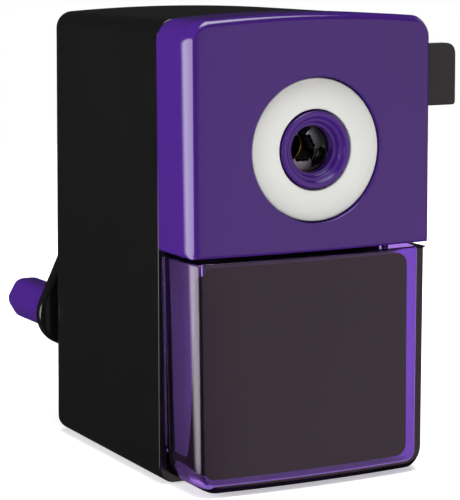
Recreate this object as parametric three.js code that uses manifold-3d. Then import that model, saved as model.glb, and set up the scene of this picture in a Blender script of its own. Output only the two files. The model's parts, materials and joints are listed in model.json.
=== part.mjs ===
// Hand-crank desk pencil sharpener: black body, violet pull-out front with a three-jaw chuck,
// clear violet shavings drawer, planetary cutter and a crank with a turning grip.
// Millimetres. X is right seen from the front, Y runs to the back, Z is up, Z = 0 is the desk.
import * as THREE from 'three';
import Module from 'manifold-3d';
import { mergeVertices } from 'three/addons/utils/BufferGeometryUtils.js';

// ---- sizes -------------------------------------------------------------------------------------
// Body
const bodyWidth = 68.4;
const bodyDepth = 68;
const bodyWall = 2.4;
const bodyFloor = 4;
const bodyCorner = 5;
const bodyRearRound = 4;
const bodyCrown = 1.3;
const footHeight = 1;
const drawerTop = 59.3; // top of the drawer's front above the desk
const seamGap = 1.2; // open line between drawer and cover
const pencilRise = 25.5; // pencil axis above the cover's lower edge
const topRise = 33.6; // highest line of the body above the pencil axis
const shelfThick = 2.4; // shelf between the shavings drawer and the works

// Front cover
const frontDepth = 20.7; // how far cover and drawer stand in front of the body, at the middle
const frontBow = 2; // the front face is this much fuller at its middle than at its sides
const coverProud = 0.6; // cover stands past the body on each side
const coverStep = 0.4; // and above it
const coverCrown = 1.7;
const coverCorner = 5.5;
const coverLowCorner = 1.2;
const coverWall = 2.2;
const frontRound = 3.5; // upright front edges
const topRound = 2; // top front edge
const rimGap = 0.4; // cover and drawer end this far in front of the body's rim

// Ring and pencil mouth
const ringRadius = 18;
const ringHole = 10.2;
const ringThick = 1.6;
const ringBack = 1.3; // ring face behind the cover's face
const mouthRadius = 6;
const lipRadius = 9.7;
const lipProud = 0.5; // lip in front of the ring's face

// Chuck
const plateRadius = 19.5;
const plateThick = 2;
const plateHole = 5.5;
const jawThick = 3;
const jawWidth = 5.6;
const jawLength = 12;
const jawTip = 2.6; // tip radius with the chuck shut
const jawTravel = 2.2;
const jawTeeth = 4;
const jawToothDepth = 0.7;
const jawPinRadius = 1.2;
const jawPinAt = 10; // pin centre from the jaw's tip
const camThick = 2;
const camHole = 7.6;
const leverSwing = 15; // degrees from rest to fully pressed
const postRadius = 3.4;
const postCircle = plateRadius + postRadius + 0.4;
const chuckScrewRadius = 1.2;
const backPlateThick = 1.5;

// Release lever
const leverThick = 2.3;
const leverReach = 11.5; // how far the tab stands out of the cover's side
const leverLow = 9; // tab's lower edge above the pencil axis
const leverTall = 16.2;
const leverInner = 21.2; // inner end of the lever from the pencil axis
const leverBigRound = 4.5;
const leverSmallRound = 1;
const rivetRadius = 1.2;

// Carriage rods and springs
const rodRadius = 2;
const rodLength = 62;
const rodLow = 7; // rod centre above the cover's lower edge
const rodBoss = 4;
const springRadius = 2.95; // coil centre line
const wireRadius = 0.4;
const springTurns = 9;
const clipRadius = 3.5;
const clipThick = 1.2;
const pullTravel = 30;

// Works
const frameThick = 2.5;
const frameSet = 1.5; // frame behind the rim
const hubRadius = 8;
const hubBore = 4.9;
const gearModule = 1.04;
const ringGearTeeth = 33;
const pinionTeeth = 12;
const toothAdd = 0.75;
const toothDed = 1.35;
const toothSlack = 0.5; // taken off each pinion tooth's thickness
const toothSlope = 0.4; // how far a flank leans, per mm of tooth height
const ringGearOuter = 21;
const pinionWide = 3.6;
const cutterRadius = 6.3;
const cutterLength = 22;
const cutterFlutes = 14;
const cutterFluteDepth = 0.7;
const cutterTwist = 70; // degrees of twist over the cutter's length
const cutterTilt = 8; // degrees between cutter and pencil axis
const axleRadius = 1.6;
const carrierDisc = 14.4;
const carrierOuter = 11.5;
const carrierBore = 5.2;
const discThick = 1.5;
const rearDiscThick = 4;
const rearDiscRadius = 13;
const rearHubRadius = 6;
const rearHubLength = 8;
const sleeveWall = 0.8;
const sleeveReach = 6; // guide sleeve in front of the frame

// Crank
const shaftRadius = 3;
const bushingWall = 2;
const bossRadius = 9;
const bossProud = 2;
const armLength = 60.5;
const armAngle = 28; // degrees from hanging, towards the left
const armHubRadius = 12;
const armEndRadius = 9.3;
const armThick = 4;
const armGap = 3; // arm behind the body's rear boss
const squareSide = 4.6; // squared shaft end
const gripAcross = 11.8; // across the flats
const gripLength = 30;
const gripBevel = 1.8;
const pinRadius = 2.2;

// Drawer
const drawerWall = 2.2;
const boxWall = 1.8;
const drawerInset = 0.5; // drawer's front inside the body's side line at its top
const drawerTaper = 0.5; // and this much more at its foot
const drawerCorner = 5.5;
const drawerLowRound = 3;
const slideGap = 0.6;
const drawerTravel = 55;

// Base
const plateInset = 6; // base plate's edge inside the body's side
const basePlateThick = 1.4;
const footRadius = 4.6;
const footSeat = 0.8;
const padRadius = 9; // non-slip pad under the middle of the body
const baseScrewRadius = 1.1;
const baseScrewHead = 2.3;

// Clearances
const fit = 0.3; // parts that touch
const running = 0.25; // parts that turn or slide in each other

// ---- places that follow from the sizes ---------------------------------------------------------
const bodyBottom = footHeight;
const coverBottom = drawerTop + seamGap;
const axisZ = coverBottom + pencilRise;
const bodyTop = axisZ + topRise;
const coverTop = bodyTop + coverStep;
const shelfTop = coverBottom + bodyWall;
const shelfLow = shelfTop - shelfThick;
const halfBody = bodyWidth / 2;
const halfInner = halfBody - bodyWall;
const halfCover = halfBody + coverProud;
const halfCoverInner = halfCover - coverWall;
const faceY = -frontDepth;
const cheekY = faceY + frontBow;
const coverInnerY = cheekY + coverWall;
const ringFaceY = faceY + ringBack;
const ringFloorY = ringFaceY + ringThick + fit;
const padY = Math.max(ringFloorY, coverInnerY) + 1.5;
const frontPlateY = padY + fit;
const jawY = frontPlateY + plateThick + fit;
const camY = jawY + jawThick + fit;
const backPlateY = camY + camThick + fit;
const backPlateEndY = backPlateY + backPlateThick;
const leverY = camY - fit - leverThick;
const leverTop = axisZ + leverLow + leverTall;
const leverTip = halfCover + leverReach;
const rodX = halfInner - springRadius - wireRadius - 1.1;
const rodZ = coverBottom + rodLow;
const rodStartY = coverInnerY + 1.2;
const rodEndY = rodStartY + rodLength;
const frameY = frameSet;
const frameEndY = frameY + frameThick;
const discY = frameEndY + fit;
const pinionPitch = (gearModule * pinionTeeth) / 2;
const ringPitch = (gearModule * ringGearTeeth) / 2;
const gearCentre = ringPitch - pinionPitch;
const tilt = THREE.MathUtils.degToRad(cutterTilt);
const pinionLean = (pinionPitch + toothAdd) * Math.sin(tilt); // the tilted pinion's reach along Y
const pinionY = discY + discThick + fit + pinionLean;
const gearY = frameEndY + fit;
const gearEndY = pinionY + pinionWide + pinionLean + fit;
const pinionMidY = pinionY + pinionWide / 2;
const cutterStart = pinionWide / 2 + 1; // along the cutter's axis from the pinion's middle
const rearDiscY = pinionMidY + cutterStart + cutterLength + 1.3;
const rearHubY = rearDiscY + rearDiscThick;
const backY = bodyDepth;
const bossEndY = backY + bossProud;
const armY = bossEndY + armGap;
const armEndY = armY + armThick;
const crankTurn = THREE.MathUtils.degToRad(armAngle);
const gripX = -armLength * Math.sin(crankTurn);
const gripZ = axisZ - armLength * Math.cos(crankTurn);
const gripY = armEndY + 0.6;
const drawerBackY = backY - bodyWall - 4;
const floorTop = bodyBottom + bodyFloor;

// ---- materials ---------------------------------------------------------------------------------
const plastic = (color, roughness) =>
  new THREE.MeshStandardMaterial({ color, roughness, metalness: 0 });
const metal = (color, roughness) =>
  new THREE.MeshStandardMaterial({ color, roughness, metalness: 1 });
const blackAbs = () => plastic(0x1a1918, 0.32);
const violetAbs = () => plastic(0x4b2589, 0.2);
const ivoryAbs = () => plastic(0xdadad5, 0.45);
const greyNylon = () => plastic(0x353535, 0.5);
const rubber = () => plastic(0x202020, 0.85);
const steel = () => metal(0xb8babd, 0.3);
const darkSteel = () => metal(0x5a5c60, 0.42);
const castZinc = () => metal(0x9a9c9f, 0.5);
const brass = () => metal(0xb9975b, 0.35);

function clearViolet() {
  const material = plastic(0x5c3aa0, 0.12);
  material.transparent = true;
  material.opacity = 0.55;
  return material;
}

// ---- solids ------------------------------------------------------------------------------------
const wasm = await Module();
wasm.setup();

function solidOf(geometry) {
  const bare = geometry.index ? geometry.toNonIndexed() : geometry.clone();
  for (const name of Object.keys(bare.attributes)) {
    if (name !== 'position') bare.deleteAttribute(name);
  }
  const merged = mergeVertices(bare, 1e-4);
  return new wasm.Manifold(new wasm.Mesh({
    numProp: 3,
    vertProperties: new Float32Array(merged.attributes.position.array),
    triVerts: new Uint32Array(merged.index.array),
  }));
}

function geometryOf(solid) {
  const mesh = solid.getMesh();
  const geometry = new THREE.BufferGeometry();
  geometry.setAttribute('position', new THREE.BufferAttribute(mesh.vertProperties, 3));
  geometry.setIndex(new THREE.BufferAttribute(mesh.triVerts, 1));
  geometry.computeVertexNormals();
  return geometry;
}

const join = (first, ...rest) => rest.reduce((sum, next) => sum.add(next), first);
const cut = (first, ...rest) => rest.reduce((left, next) => left.subtract(next), first);
const common = (first, ...rest) => rest.reduce((both, next) => both.intersect(next), first);

// Outline in XZ pushed along Y from y0 to y1.
function alongY(shape, y0, y1, segments = 4) {
  const options = { depth: y1 - y0, bevelEnabled: false, curveSegments: segments };
  const geometry = new THREE.ExtrudeGeometry(shape, options);
  return solidOf(geometry.rotateX(Math.PI / 2).translate(0, y1, 0));
}

// Outline in XY pushed along Z from z0 to z1.
function alongZ(shape, z0, z1, segments = 4) {
  const options = { depth: z1 - z0, bevelEnabled: false, curveSegments: segments };
  return solidOf(new THREE.ExtrudeGeometry(shape, options).translate(0, 0, z0));
}

// Outline in YZ pushed along X from x0 to x1.
function alongX(shape, x0, x1, segments = 4) {
  const options = { depth: x1 - x0, bevelEnabled: false, curveSegments: segments };
  const geometry = new THREE.ExtrudeGeometry(shape, options);
  const turn = new THREE.Matrix4().makeBasis(
    new THREE.Vector3(0, 1, 0),
    new THREE.Vector3(0, 0, 1),
    new THREE.Vector3(1, 0, 0),
  );
  return solidOf(geometry.applyMatrix4(turn).translate(x0, 0, 0));
}

function block(x0, x1, y0, y1, z0, z1) {
  const geometry = new THREE.BoxGeometry(x1 - x0, y1 - y0, z1 - z0);
  return solidOf(geometry.translate((x0 + x1) / 2, (y0 + y1) / 2, (z0 + z1) / 2));
}

// Round bar along Y.
function bar(radius, y0, y1, x = 0, z = axisZ, sides = 24) {
  const geometry = new THREE.CylinderGeometry(radius, radius, y1 - y0, sides);
  return solidOf(geometry.translate(x, (y0 + y1) / 2, z));
}

// Round bar along Z.
function post(radius, z0, z1, x, y, sides = 16) {
  const geometry = new THREE.CylinderGeometry(radius, radius, z1 - z0, sides);
  return solidOf(geometry.rotateX(Math.PI / 2).translate(x, y, (z0 + z1) / 2));
}

// Profile of [radius, y] points turned about the Y axis through (x, z).
function turned(profile, x = 0, z = axisZ, sides = 40) {
  const points = profile.map(([radius, y]) => new THREE.Vector2(radius, y));
  if (THREE.ShapeUtils.area(points) < 0) points.reverse();
  return solidOf(new THREE.LatheGeometry(points, sides).translate(x, 0, z));
}

// Closed outline through points, each with its own corner radius.
function rounded(corners) {
  const shape = new THREE.Shape();
  const count = corners.length;
  corners.forEach(([x, y, radius], i) => {
    const [px, py] = corners[(i + count - 1) % count];
    const [nx, ny] = corners[(i + 1) % count];
    const before = new THREE.Vector2(px - x, py - y).setLength(radius);
    const after = new THREE.Vector2(nx - x, ny - y).setLength(radius);
    if (i === 0) shape.moveTo(x + before.x, y + before.y);
    else shape.lineTo(x + before.x, y + before.y);
    if (radius > 0) shape.quadraticCurveTo(x, y, x + after.x, y + after.y);
  });
  shape.closePath();
  return shape;
}

// Front outline with an arched top that falls by crown from its middle to its sides.
function archedOutline(half, low, high, crown, topCorner, lowCorner) {
  const shape = new THREE.Shape();
  const side = high - crown;
  shape.moveTo(-half + lowCorner, low);
  shape.lineTo(half - lowCorner, low);
  if (lowCorner > 0) shape.quadraticCurveTo(half, low, half, low + lowCorner);
  shape.lineTo(half, side - topCorner);
  const rise = (crown * topCorner * 2) / half;
  shape.quadraticCurveTo(half, side, half - topCorner, side + rise / 2);
  shape.quadraticCurveTo(0, high + crown - rise / 2, -half + topCorner, side + rise / 2);
  shape.quadraticCurveTo(-half, side, -half, side - topCorner);
  shape.lineTo(-half, low + lowCorner);
  if (lowCorner > 0) shape.quadraticCurveTo(-half, low, -half + lowCorner, low);
  return shape;
}

// Plan outline with a bowed front and rounded upright front edges.
function bowedPlan(half, front, bow, round, back) {
  const shape = new THREE.Shape();
  const cheek = front + bow;
  const ease = (2 * bow * round) / half;
  shape.moveTo(-half, back);
  shape.lineTo(-half, cheek + round);
  shape.quadraticCurveTo(-half, cheek, -half + round, cheek - ease / 2);
  shape.quadraticCurveTo(0, front - bow + ease / 2, half - round, cheek - ease / 2);
  shape.quadraticCurveTo(half, cheek, half, cheek + round);
  shape.lineTo(half, back);
  shape.closePath();
  return shape;
}

// Gear outline round the origin: root and tip radius, tooth thickness at root and tip.
function gearOutline(teeth, low, high, lowWidth, highWidth, turn = 0) {
  const points = [];
  for (let i = 0; i < teeth; i++) {
    const middle = turn + (i * 2 * Math.PI) / teeth;
    for (const [radius, width, side] of [
      [low, lowWidth, -1],
      [high, highWidth, -1],
      [high, highWidth, 1],
      [low, lowWidth, 1],
    ]) {
      const angle = middle + (side * width) / (2 * radius);
      points.push(new THREE.Vector2(radius * Math.cos(angle), radius * Math.sin(angle)));
    }
  }
  return points;
}

// Coil of round wire along Y from y0 to y1.
class Coil extends THREE.Curve {
  constructor(radius, length, turns) {
    super();
    this.radius = radius;
    this.length = length;
    this.turns = turns;
  }

  getPoint(t, target = new THREE.Vector3()) {
    const angle = t * this.turns * 2 * Math.PI;
    const x = this.radius * Math.cos(angle);
    return target.set(x, t * this.length, this.radius * Math.sin(angle));
  }
}

function coil(radius, wire, length, turns) {
  const section = new THREE.Shape();
  const corners = 4;
  for (let i = 0; i < corners; i++) {
    const angle = (i * 2 * Math.PI) / corners;
    const place = [wire * Math.cos(angle), wire * Math.sin(angle)];
    if (i === 0) section.moveTo(...place);
    else section.lineTo(...place);
  }
  section.closePath();
  return new THREE.ExtrudeGeometry(section, {
    steps: Math.round(turns * 8),
    extrudePath: new Coil(radius, length, turns),
  });
}

function piece(name, solid, material) {
  const mesh = new THREE.Mesh(geometryOf(solid), material);
  mesh.name = name;
  return mesh;
}

// Direction in XZ at an angle from +X towards +Z.
function polar(radius, degrees) {
  const angle = THREE.MathUtils.degToRad(degrees);
  return [radius * Math.cos(angle), axisZ + radius * Math.sin(angle)];
}

const postAngles = [90, 210, 330];
const earHalf = postRadius - 0.5;
const jawAngles = [30, 150, 270];
const sides = [['left', -1], ['right', 1]];

// ---- body --------------------------------------------------------------------------------------
function bodyOuter() {
  const low = bodyBottom;
  const front = archedOutline(halfBody, low, bodyTop, bodyCrown, bodyCorner, bodyCorner);
  const plan = rounded([
    [-halfBody - 1, -1, 0],
    [halfBody + 1, -1, 0],
    [halfBody + 1, bodyDepth / 2, 0],
    [halfBody, bodyDepth / 2, 0],
    [halfBody, backY, bodyRearRound],
    [-halfBody, backY, bodyRearRound],
    [-halfBody, bodyDepth / 2, 0],
    [-halfBody - 1, bodyDepth / 2, 0],
  ]);
  const profile = rounded([
    [-1, low - 1, 0],
    [backY / 2, low - 1, 0],
    [backY / 2, low, 0],
    [backY, low, bodyRearRound],
    [backY, bodyTop, bodyRearRound],
    [backY / 2, bodyTop, 0],
    [backY / 2, bodyTop + 1, 0],
    [-1, bodyTop + 1, 0],
  ]);
  return common(
    alongY(front, 0, backY),
    alongZ(plan, low - 1, bodyTop + 1),
    alongX(profile, -halfBody - 1, halfBody + 1),
  );
}

const frameScrewAt = (side) => [side * (halfInner - 4.2), bodyTop - bodyWall - bodyCrown - 6];

function bodyShell() {
  const backInner = backY - bodyWall;
  const low = coverBottom + bodyWall;
  const inner = bodyTop - bodyWall;
  const works = archedOutline(halfInner, shelfTop, inner, bodyCrown, bodyCorner - bodyWall, 0.5);
  const bay = rounded([
    [-halfInner, floorTop, bodyCorner - bodyWall],
    [halfInner, floorTop, bodyCorner - bodyWall],
    [halfInner, shelfLow, 0.5],
    [-halfInner, shelfLow, 0.5],
  ]);
  let shell = cut(
    bodyOuter(),
    alongY(works, -1, backInner),
    alongY(bay, -1, backInner),
    block(-17, 17, frameEndY + 3, backInner - 12, shelfLow - 1, low + 1),
  );
  for (const [, side] of sides) {
    const [x, z] = frameScrewAt(side);
    const boss = join(
      bar(3, frameEndY + fit, frameEndY + 14, x, z, 10),
      block(Math.min(x, side * (halfInner + 0.5)), Math.max(x, side * (halfInner + 0.5)),
        frameEndY + fit, frameEndY + 14, z - 1.5, z + 1.5),
    );
    shell = cut(join(shell, boss), bar(baseScrewRadius + fit, frameEndY, frameEndY + 10, x, z, 10));
  }
  const bushHole = shaftRadius + running + bushingWall + fit;
  shell = join(
    shell,
    bar(bossRadius, backInner - 0.5, bossEndY),
    bar(bushHole + 2, backInner - 7, backInner + 0.5),
  );
  shell = cut(shell, bar(bushHole, backInner - 8, bossEndY + 1));
  const pocket = pocketPlan(0);
  shell = cut(shell, alongZ(pocket, bodyBottom - 1, bodyBottom + basePlateThick + fit, 4));
  for (const [x, y] of baseScrewPlaces()) {
    shell = cut(shell, post(baseScrewRadius + fit, bodyBottom, floorTop - 0.8, x, y, 10));
  }
  return piece('body_shell', shell, blackAbs());
}

function pocketPlan(shrink) {
  const half = halfBody - plateInset - shrink;
  const near = plateInset + shrink;
  const far = backY - plateInset - shrink;
  return rounded([[-half, near, 3], [half, near, 3], [half, far, 3], [-half, far, 3]]);
}

const footPlaces = () => {
  const x = halfBody - plateInset - footRadius - 2;
  const near = plateInset + footRadius + 2;
  const far = backY - plateInset - footRadius - 2;
  return [['front_left', -x, near], ['front_right', x, near],
    ['rear_left', -x, far], ['rear_right', x, far]];
};

const baseScrewPlaces = () => footPlaces().map(([, x, y]) => [
  x,
  y + Math.sign(backY / 2 - y) * (footRadius + baseScrewHead + 3),
]);

function basePlate() {
  const top = bodyBottom + basePlateThick;
  let plate = alongZ(pocketPlan(fit), bodyBottom, top, 4);
  for (const [, x, y, radius] of padPlaces()) {
    plate = cut(plate, post(radius + fit, bodyBottom - 1, bodyBottom + footSeat, x, y));
  }
  for (const [x, y] of baseScrewPlaces()) {
    plate = cut(
      plate,
      post(baseScrewRadius + fit, bodyBottom - 1, top + 1, x, y, 10),
      post(baseScrewHead + fit, bodyBottom - 1, bodyBottom + 0.7, x, y, 10),
    );
  }
  return piece('base_plate', plate, blackAbs());
}

// Four feet near the corners and a wider pad in the middle, all in shallow seats.
function padPlaces() {
  const corner = footPlaces().map(([name, x, y]) => [`foot_${name}`, x, y, footRadius]);
  return [...corner, ['centre_pad', 0, backY / 2, padRadius]];
}

function feet() {
  return padPlaces().map(([name, x, y, radius]) => {
    const top = bodyBottom + footSeat - fit;
    const points = [[0, 0], [radius - 0.6, 0], [radius, 0.5], [radius, top], [0, top]];
    const geometry = new THREE.LatheGeometry(
      points.map(([r, z]) => new THREE.Vector2(r, z)), 16);
    return piece(name, solidOf(geometry.rotateX(Math.PI / 2).translate(x, y, 0)), rubber());
  });
}

function crossSlot(radius, y0, y1, x, z) {
  const half = radius * 0.7;
  return join(
    block(x - half, x + half, y0, y1, z - 0.3, z + 0.3),
    block(x - 0.3, x + 0.3, y0, y1, z - half, z + half),
  );
}

function baseScrews() {
  return baseScrewPlaces().map(([x, y], i) => {
    const seat = bodyBottom + 0.7 - fit;
    const half = baseScrewHead * 0.65;
    const screw = cut(
      join(
        post(baseScrewHead, bodyBottom - 0.3, seat, x, y, 12),
        post(baseScrewRadius, seat - 0.1, floorTop - 0.8 - fit, x, y, 10),
      ),
      block(x - half, x + half, y - 0.3, y + 0.3, bodyBottom - 1, bodyBottom),
      block(x - 0.3, x + 0.3, y - half, y + half, bodyBottom - 1, bodyBottom),
    );
    return piece(`base_screw_${i + 1}`, screw, steel());
  });
}

// ---- works -------------------------------------------------------------------------------------
function mechanismFrame() {
  const half = halfInner - fit;
  const top = bodyTop - bodyWall - fit;
  const low = shelfTop + fit;
  const corner = bodyCorner - bodyWall;
  let frame = join(
    alongY(archedOutline(half, low, top, bodyCrown, corner, 0.5), frameY, frameEndY),
    cut(
      bar(ringGearOuter + fit + 1.6, frameEndY - 0.1, frameEndY + 3.2, 0, axisZ, 36),
      bar(ringGearOuter + fit, frameEndY - 0.2, frameEndY + 4, 0, axisZ, 36),
    ),
  );
  frame = cut(frame, bar(hubRadius + running, frameY - 1, frameEndY + 1));
  for (const [, side] of sides) {
    const [x, z] = frameScrewAt(side);
    frame = cut(
      frame,
      bar(rodRadius + running, frameY - 1, frameEndY + 1, side * rodX, rodZ, 12),
      bar(baseScrewRadius + fit, frameY - 1, frameEndY + 1, x, z, 10),
    );
  }
  return piece('mechanism_frame', frame, blackAbs());
}

function frameScrews() {
  return sides.map(([name, side]) => {
    const [x, z] = frameScrewAt(side);
    const headY = frameY - fit;
    const screw = cut(
      join(
        bar(baseScrewHead, headY - 1.1, headY, x, z, 12),
        bar(baseScrewRadius, headY - 0.1, frameEndY + 9, x, z, 10),
      ),
      crossSlot(baseScrewHead, headY - 2, headY - 0.5, x, z),
    );
    return piece(`frame_screw_${name}`, screw, steel());
  });
}

function ringGear() {
  const space = (Math.PI * gearModule) / 2 + 0.1;
  const inner = gearOutline(
    ringGearTeeth,
    ringPitch - toothAdd,
    ringPitch + toothDed,
    space + 2 * toothAdd * toothSlope,
    space - 2 * toothDed * toothSlope,
    Math.PI / 2,
  );
  const shape = new THREE.Shape();
  shape.absarc(0, 0, ringGearOuter, 0, 2 * Math.PI);
  shape.holes.push(new THREE.Path(inner));
  const solid = alongY(shape, gearY, gearEndY, 20).translate([0, 0, axisZ]);
  return piece('ring_gear', solid, castZinc());
}

// The cutter's own frame: its axis along +Y from the pinion's middle, tilted towards the pencil.
function onCutterAxis(solid) {
  const matrix = new THREE.Matrix4()
    .makeTranslation(0, pinionMidY, axisZ + gearCentre)
    .multiply(new THREE.Matrix4().makeRotationX(-tilt));
  return solid.transform(matrix.elements);
}

function cutterPinion() {
  const half = pinionWide / 2;
  const tooth = (Math.PI * gearModule) / 2 - toothSlack;
  const outline = gearOutline(
    pinionTeeth,
    pinionPitch - toothDed,
    pinionPitch + toothAdd,
    tooth + 2 * toothDed * toothSlope * 0.8,
    tooth - 2 * toothAdd * toothSlope,
    Math.PI / 2,
  );
  const gear = cut(
    alongY(new THREE.Shape(outline), -half, half),
    bar(axleRadius + running, -half - 1, half + 1, 0, 0, 12),
  );
  return piece('cutter_pinion', onCutterAxis(gear), steel());
}

function helicalCutter() {
  const low = cutterRadius - cutterFluteDepth;
  const pitch = (2 * Math.PI * cutterRadius) / cutterFlutes;
  const points = gearOutline(cutterFlutes, low, cutterRadius, pitch * 0.62, pitch * 0.2);
  const geometry = new THREE.ExtrudeGeometry(new THREE.Shape(points), {
    depth: cutterLength,
    bevelEnabled: false,
    steps: 6,
  });
  const place = geometry.attributes.position;
  const twist = THREE.MathUtils.degToRad(cutterTwist) / cutterLength;
  const point = new THREE.Vector3();
  const axis = new THREE.Vector3(0, 0, 1);
  for (let i = 0; i < place.count; i++) {
    point.fromBufferAttribute(place, i);
    point.applyAxisAngle(axis, point.z * twist);
    place.setXYZ(i, point.x, point.y, point.z);
  }
  geometry.rotateX(-Math.PI / 2).translate(0, cutterStart, 0);
  const cutter = cut(
    solidOf(geometry),
    bar(axleRadius + running, cutterStart - 1, cutterStart + cutterLength + 1, 0, 0, 12),
  );
  return piece('helical_cutter', onCutterAxis(cutter), darkSteel());
}

function cutterAxle() {
  const start = discY - pinionMidY + 0.2;
  const end = rearDiscY - pinionMidY + rearDiscThick - 0.6;
  return piece('cutter_axle', onCutterAxis(bar(axleRadius, start, end, 0, 0, 12)), steel());
}

function cutterCarrier() {
  const room = cutterRadius + 0.5;
  const start = cutterStart - 0.6;
  const shell = cut(
    bar(carrierOuter, discY, rearHubY, 0, axisZ, 36),
    bar(carrierBore, discY - 1, rearDiscY, 0, axisZ, 24),
    onCutterAxis(bar(room, start, cutterStart + cutterLength + 0.6, 0, 0, 28)),
    onCutterAxis(bar(pinionPitch + toothAdd + 0.5, -pinionWide / 2 - 0.25, start + 0.1, 0, 0, 28)),
    block(-20, 20, discY + discThick, rearDiscY, axisZ + 4, axisZ + 30),
  );
  let carrier = join(
    shell,
    bar(carrierDisc, discY, discY + discThick, 0, axisZ, 40),
    bar(hubRadius, frameY + 0.4, discY + 0.5, 0, axisZ, 40),
    bar(rearDiscRadius, rearDiscY, rearHubY, 0, axisZ, 40),
    bar(rearHubRadius, rearHubY - 0.5, rearHubY + rearHubLength, 0, axisZ, 32),
  );
  carrier = cut(
    carrier,
    bar(hubBore, frameY - 1, discY + discThick + 1, 0, axisZ, 24),
    bar(shaftRadius + fit, rearDiscY + 1, rearHubY + rearHubLength + 1, 0, axisZ, 24),
    onCutterAxis(bar(axleRadius + fit, -8, rearDiscY - pinionMidY + rearDiscThick + 6, 0, 0, 12)),
  );
  return piece('cutter_carrier', carrier, castZinc());
}

function pencilSleeve() {
  const outer = hubBore - fit;
  const bore = outer - sleeveWall;
  const start = frameY - sleeveReach;
  const sleeve = turned([
    [bore + 0.5, start],
    [outer, start],
    [outer, frameY - fit - 1],
    [hubRadius + 1.6, frameY - fit - 1],
    [hubRadius + 1.6, frameY - fit],
    [outer, frameY - fit],
    [outer, discY + 0.3],
    [bore, discY + 0.3],
    [bore, start + 0.5],
    [bore + 0.5, start],
  ], 0, axisZ, 32);
  return piece('pencil_sleeve', sleeve, greyNylon());
}

function rearBushing() {
  const bore = shaftRadius + running;
  const outer = bore + bushingWall;
  const bushing = turned([
    [bore, backY - bodyWall - 6.5],
    [outer, backY - bodyWall - 6.5],
    [outer, bossEndY + fit],
    [outer + 1.6, bossEndY + fit],
    [outer + 1.6, bossEndY + fit + 1],
    [bore, bossEndY + fit + 1],
    [bore, backY - bodyWall - 6.5],
  ], 0, axisZ, 32);
  return piece('rear_bushing', bushing, brass());
}

// ---- crank -------------------------------------------------------------------------------------
// Turns a solid drawn round the origin, with the arm hanging, into the crank's place.
function onCrank(solid) {
  const matrix = new THREE.Matrix4()
    .makeTranslation(0, 0, axisZ)
    .multiply(new THREE.Matrix4().makeRotationY(crankTurn));
  return solid.transform(matrix.elements);
}

function crankShaft() {
  const half = squareSide / 2;
  const square = block(-half, half, armY - 0.3, armEndY + 0.8, -half, half);
  const shaft = join(
    bar(shaftRadius, rearDiscY + 1.6, armY - 0.2, 0, axisZ, 24),
    onCrank(square),
    bar(half - 0.1, armEndY + 0.7, armEndY + 4, 0, axisZ, 20),
  );
  return piece('crank_shaft', shaft, steel());
}

// Straight-sided arm between two round ends, drawn hanging down from the hub.
function crankArm() {
  const lean = Math.asin((armHubRadius - armEndRadius) / armLength);
  const outline = new THREE.Shape();
  outline.absarc(0, 0, armHubRadius, -lean, Math.PI + lean, false);
  outline.absarc(0, -armLength, armEndRadius, Math.PI + lean, 2 * Math.PI - lean, false);
  outline.closePath();
  const half = squareSide / 2 + fit;
  const raw = cut(
    join(
      alongY(outline, armY, armEndY, 18),
      bar(armHubRadius - 3, armEndY - 0.5, armEndY + 1.2, 0, 0, 28),
    ),
    block(-half, half, armY - 1, armEndY + 3, -half, half),
    bar(pinRadius + fit, armY - 1, armEndY + 1, 0, -armLength, 20),
  );
  return piece('crank_arm', onCrank(raw), blackAbs());
}

function crankNut() {
  const start = armEndY + 1.2 + fit;
  const hex = new THREE.CylinderGeometry(4.1, 4.1, 2.6, 6).translate(0, start + 1.3, axisZ);
  const dome = turned([
    [0, start + 2.5], [3.2, start + 2.5], [3, start + 3.6], [2.2, start + 4.5], [0, start + 4.9],
  ], 0, axisZ, 24);
  const bore = bar(squareSide / 2 - 0.1 + fit, start - 1, start + 2.9, 0, axisZ, 20);
  return piece('crank_nut', cut(join(solidOf(hex), dome), bore), steel());
}

function handlePin() {
  const pin = turned([
    [0, armY - 1.3],
    [3.6, armY - 1.3],
    [4.2, armY - 0.8],
    [4.2, armY - fit],
    [pinRadius, armY - fit],
    [pinRadius, gripY + gripLength - 4.5],
    [0, gripY + gripLength - 4.5],
  ], gripX, gripZ, 24);
  return piece('handle_pin', pin, steel());
}

// Six-sided grip with softened corners and rounded ends.
function handleGrip() {
  const across = gripAcross / 2 - gripBevel;
  const corners = [];
  for (let i = 0; i < 6; i++) {
    const angle = (i * Math.PI) / 3;
    const radius = across / Math.cos(Math.PI / 6);
    corners.push([radius * Math.cos(angle), radius * Math.sin(angle), 1.1]);
  }
  const geometry = new THREE.ExtrudeGeometry(rounded(corners), {
    depth: gripLength - 2 * gripBevel,
    bevelSize: gripBevel,
    bevelThickness: gripBevel,
    bevelSegments: 3,
    curveSegments: 2,
  });
  geometry.rotateX(Math.PI / 2).translate(gripX, gripY + gripLength - gripBevel, gripZ);
  const bore = bar(pinRadius + running, gripY - 1, gripY + gripLength - 4, gripX, gripZ, 20);
  return piece('handle_grip', cut(solidOf(geometry), bore), violetAbs());
}

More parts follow.
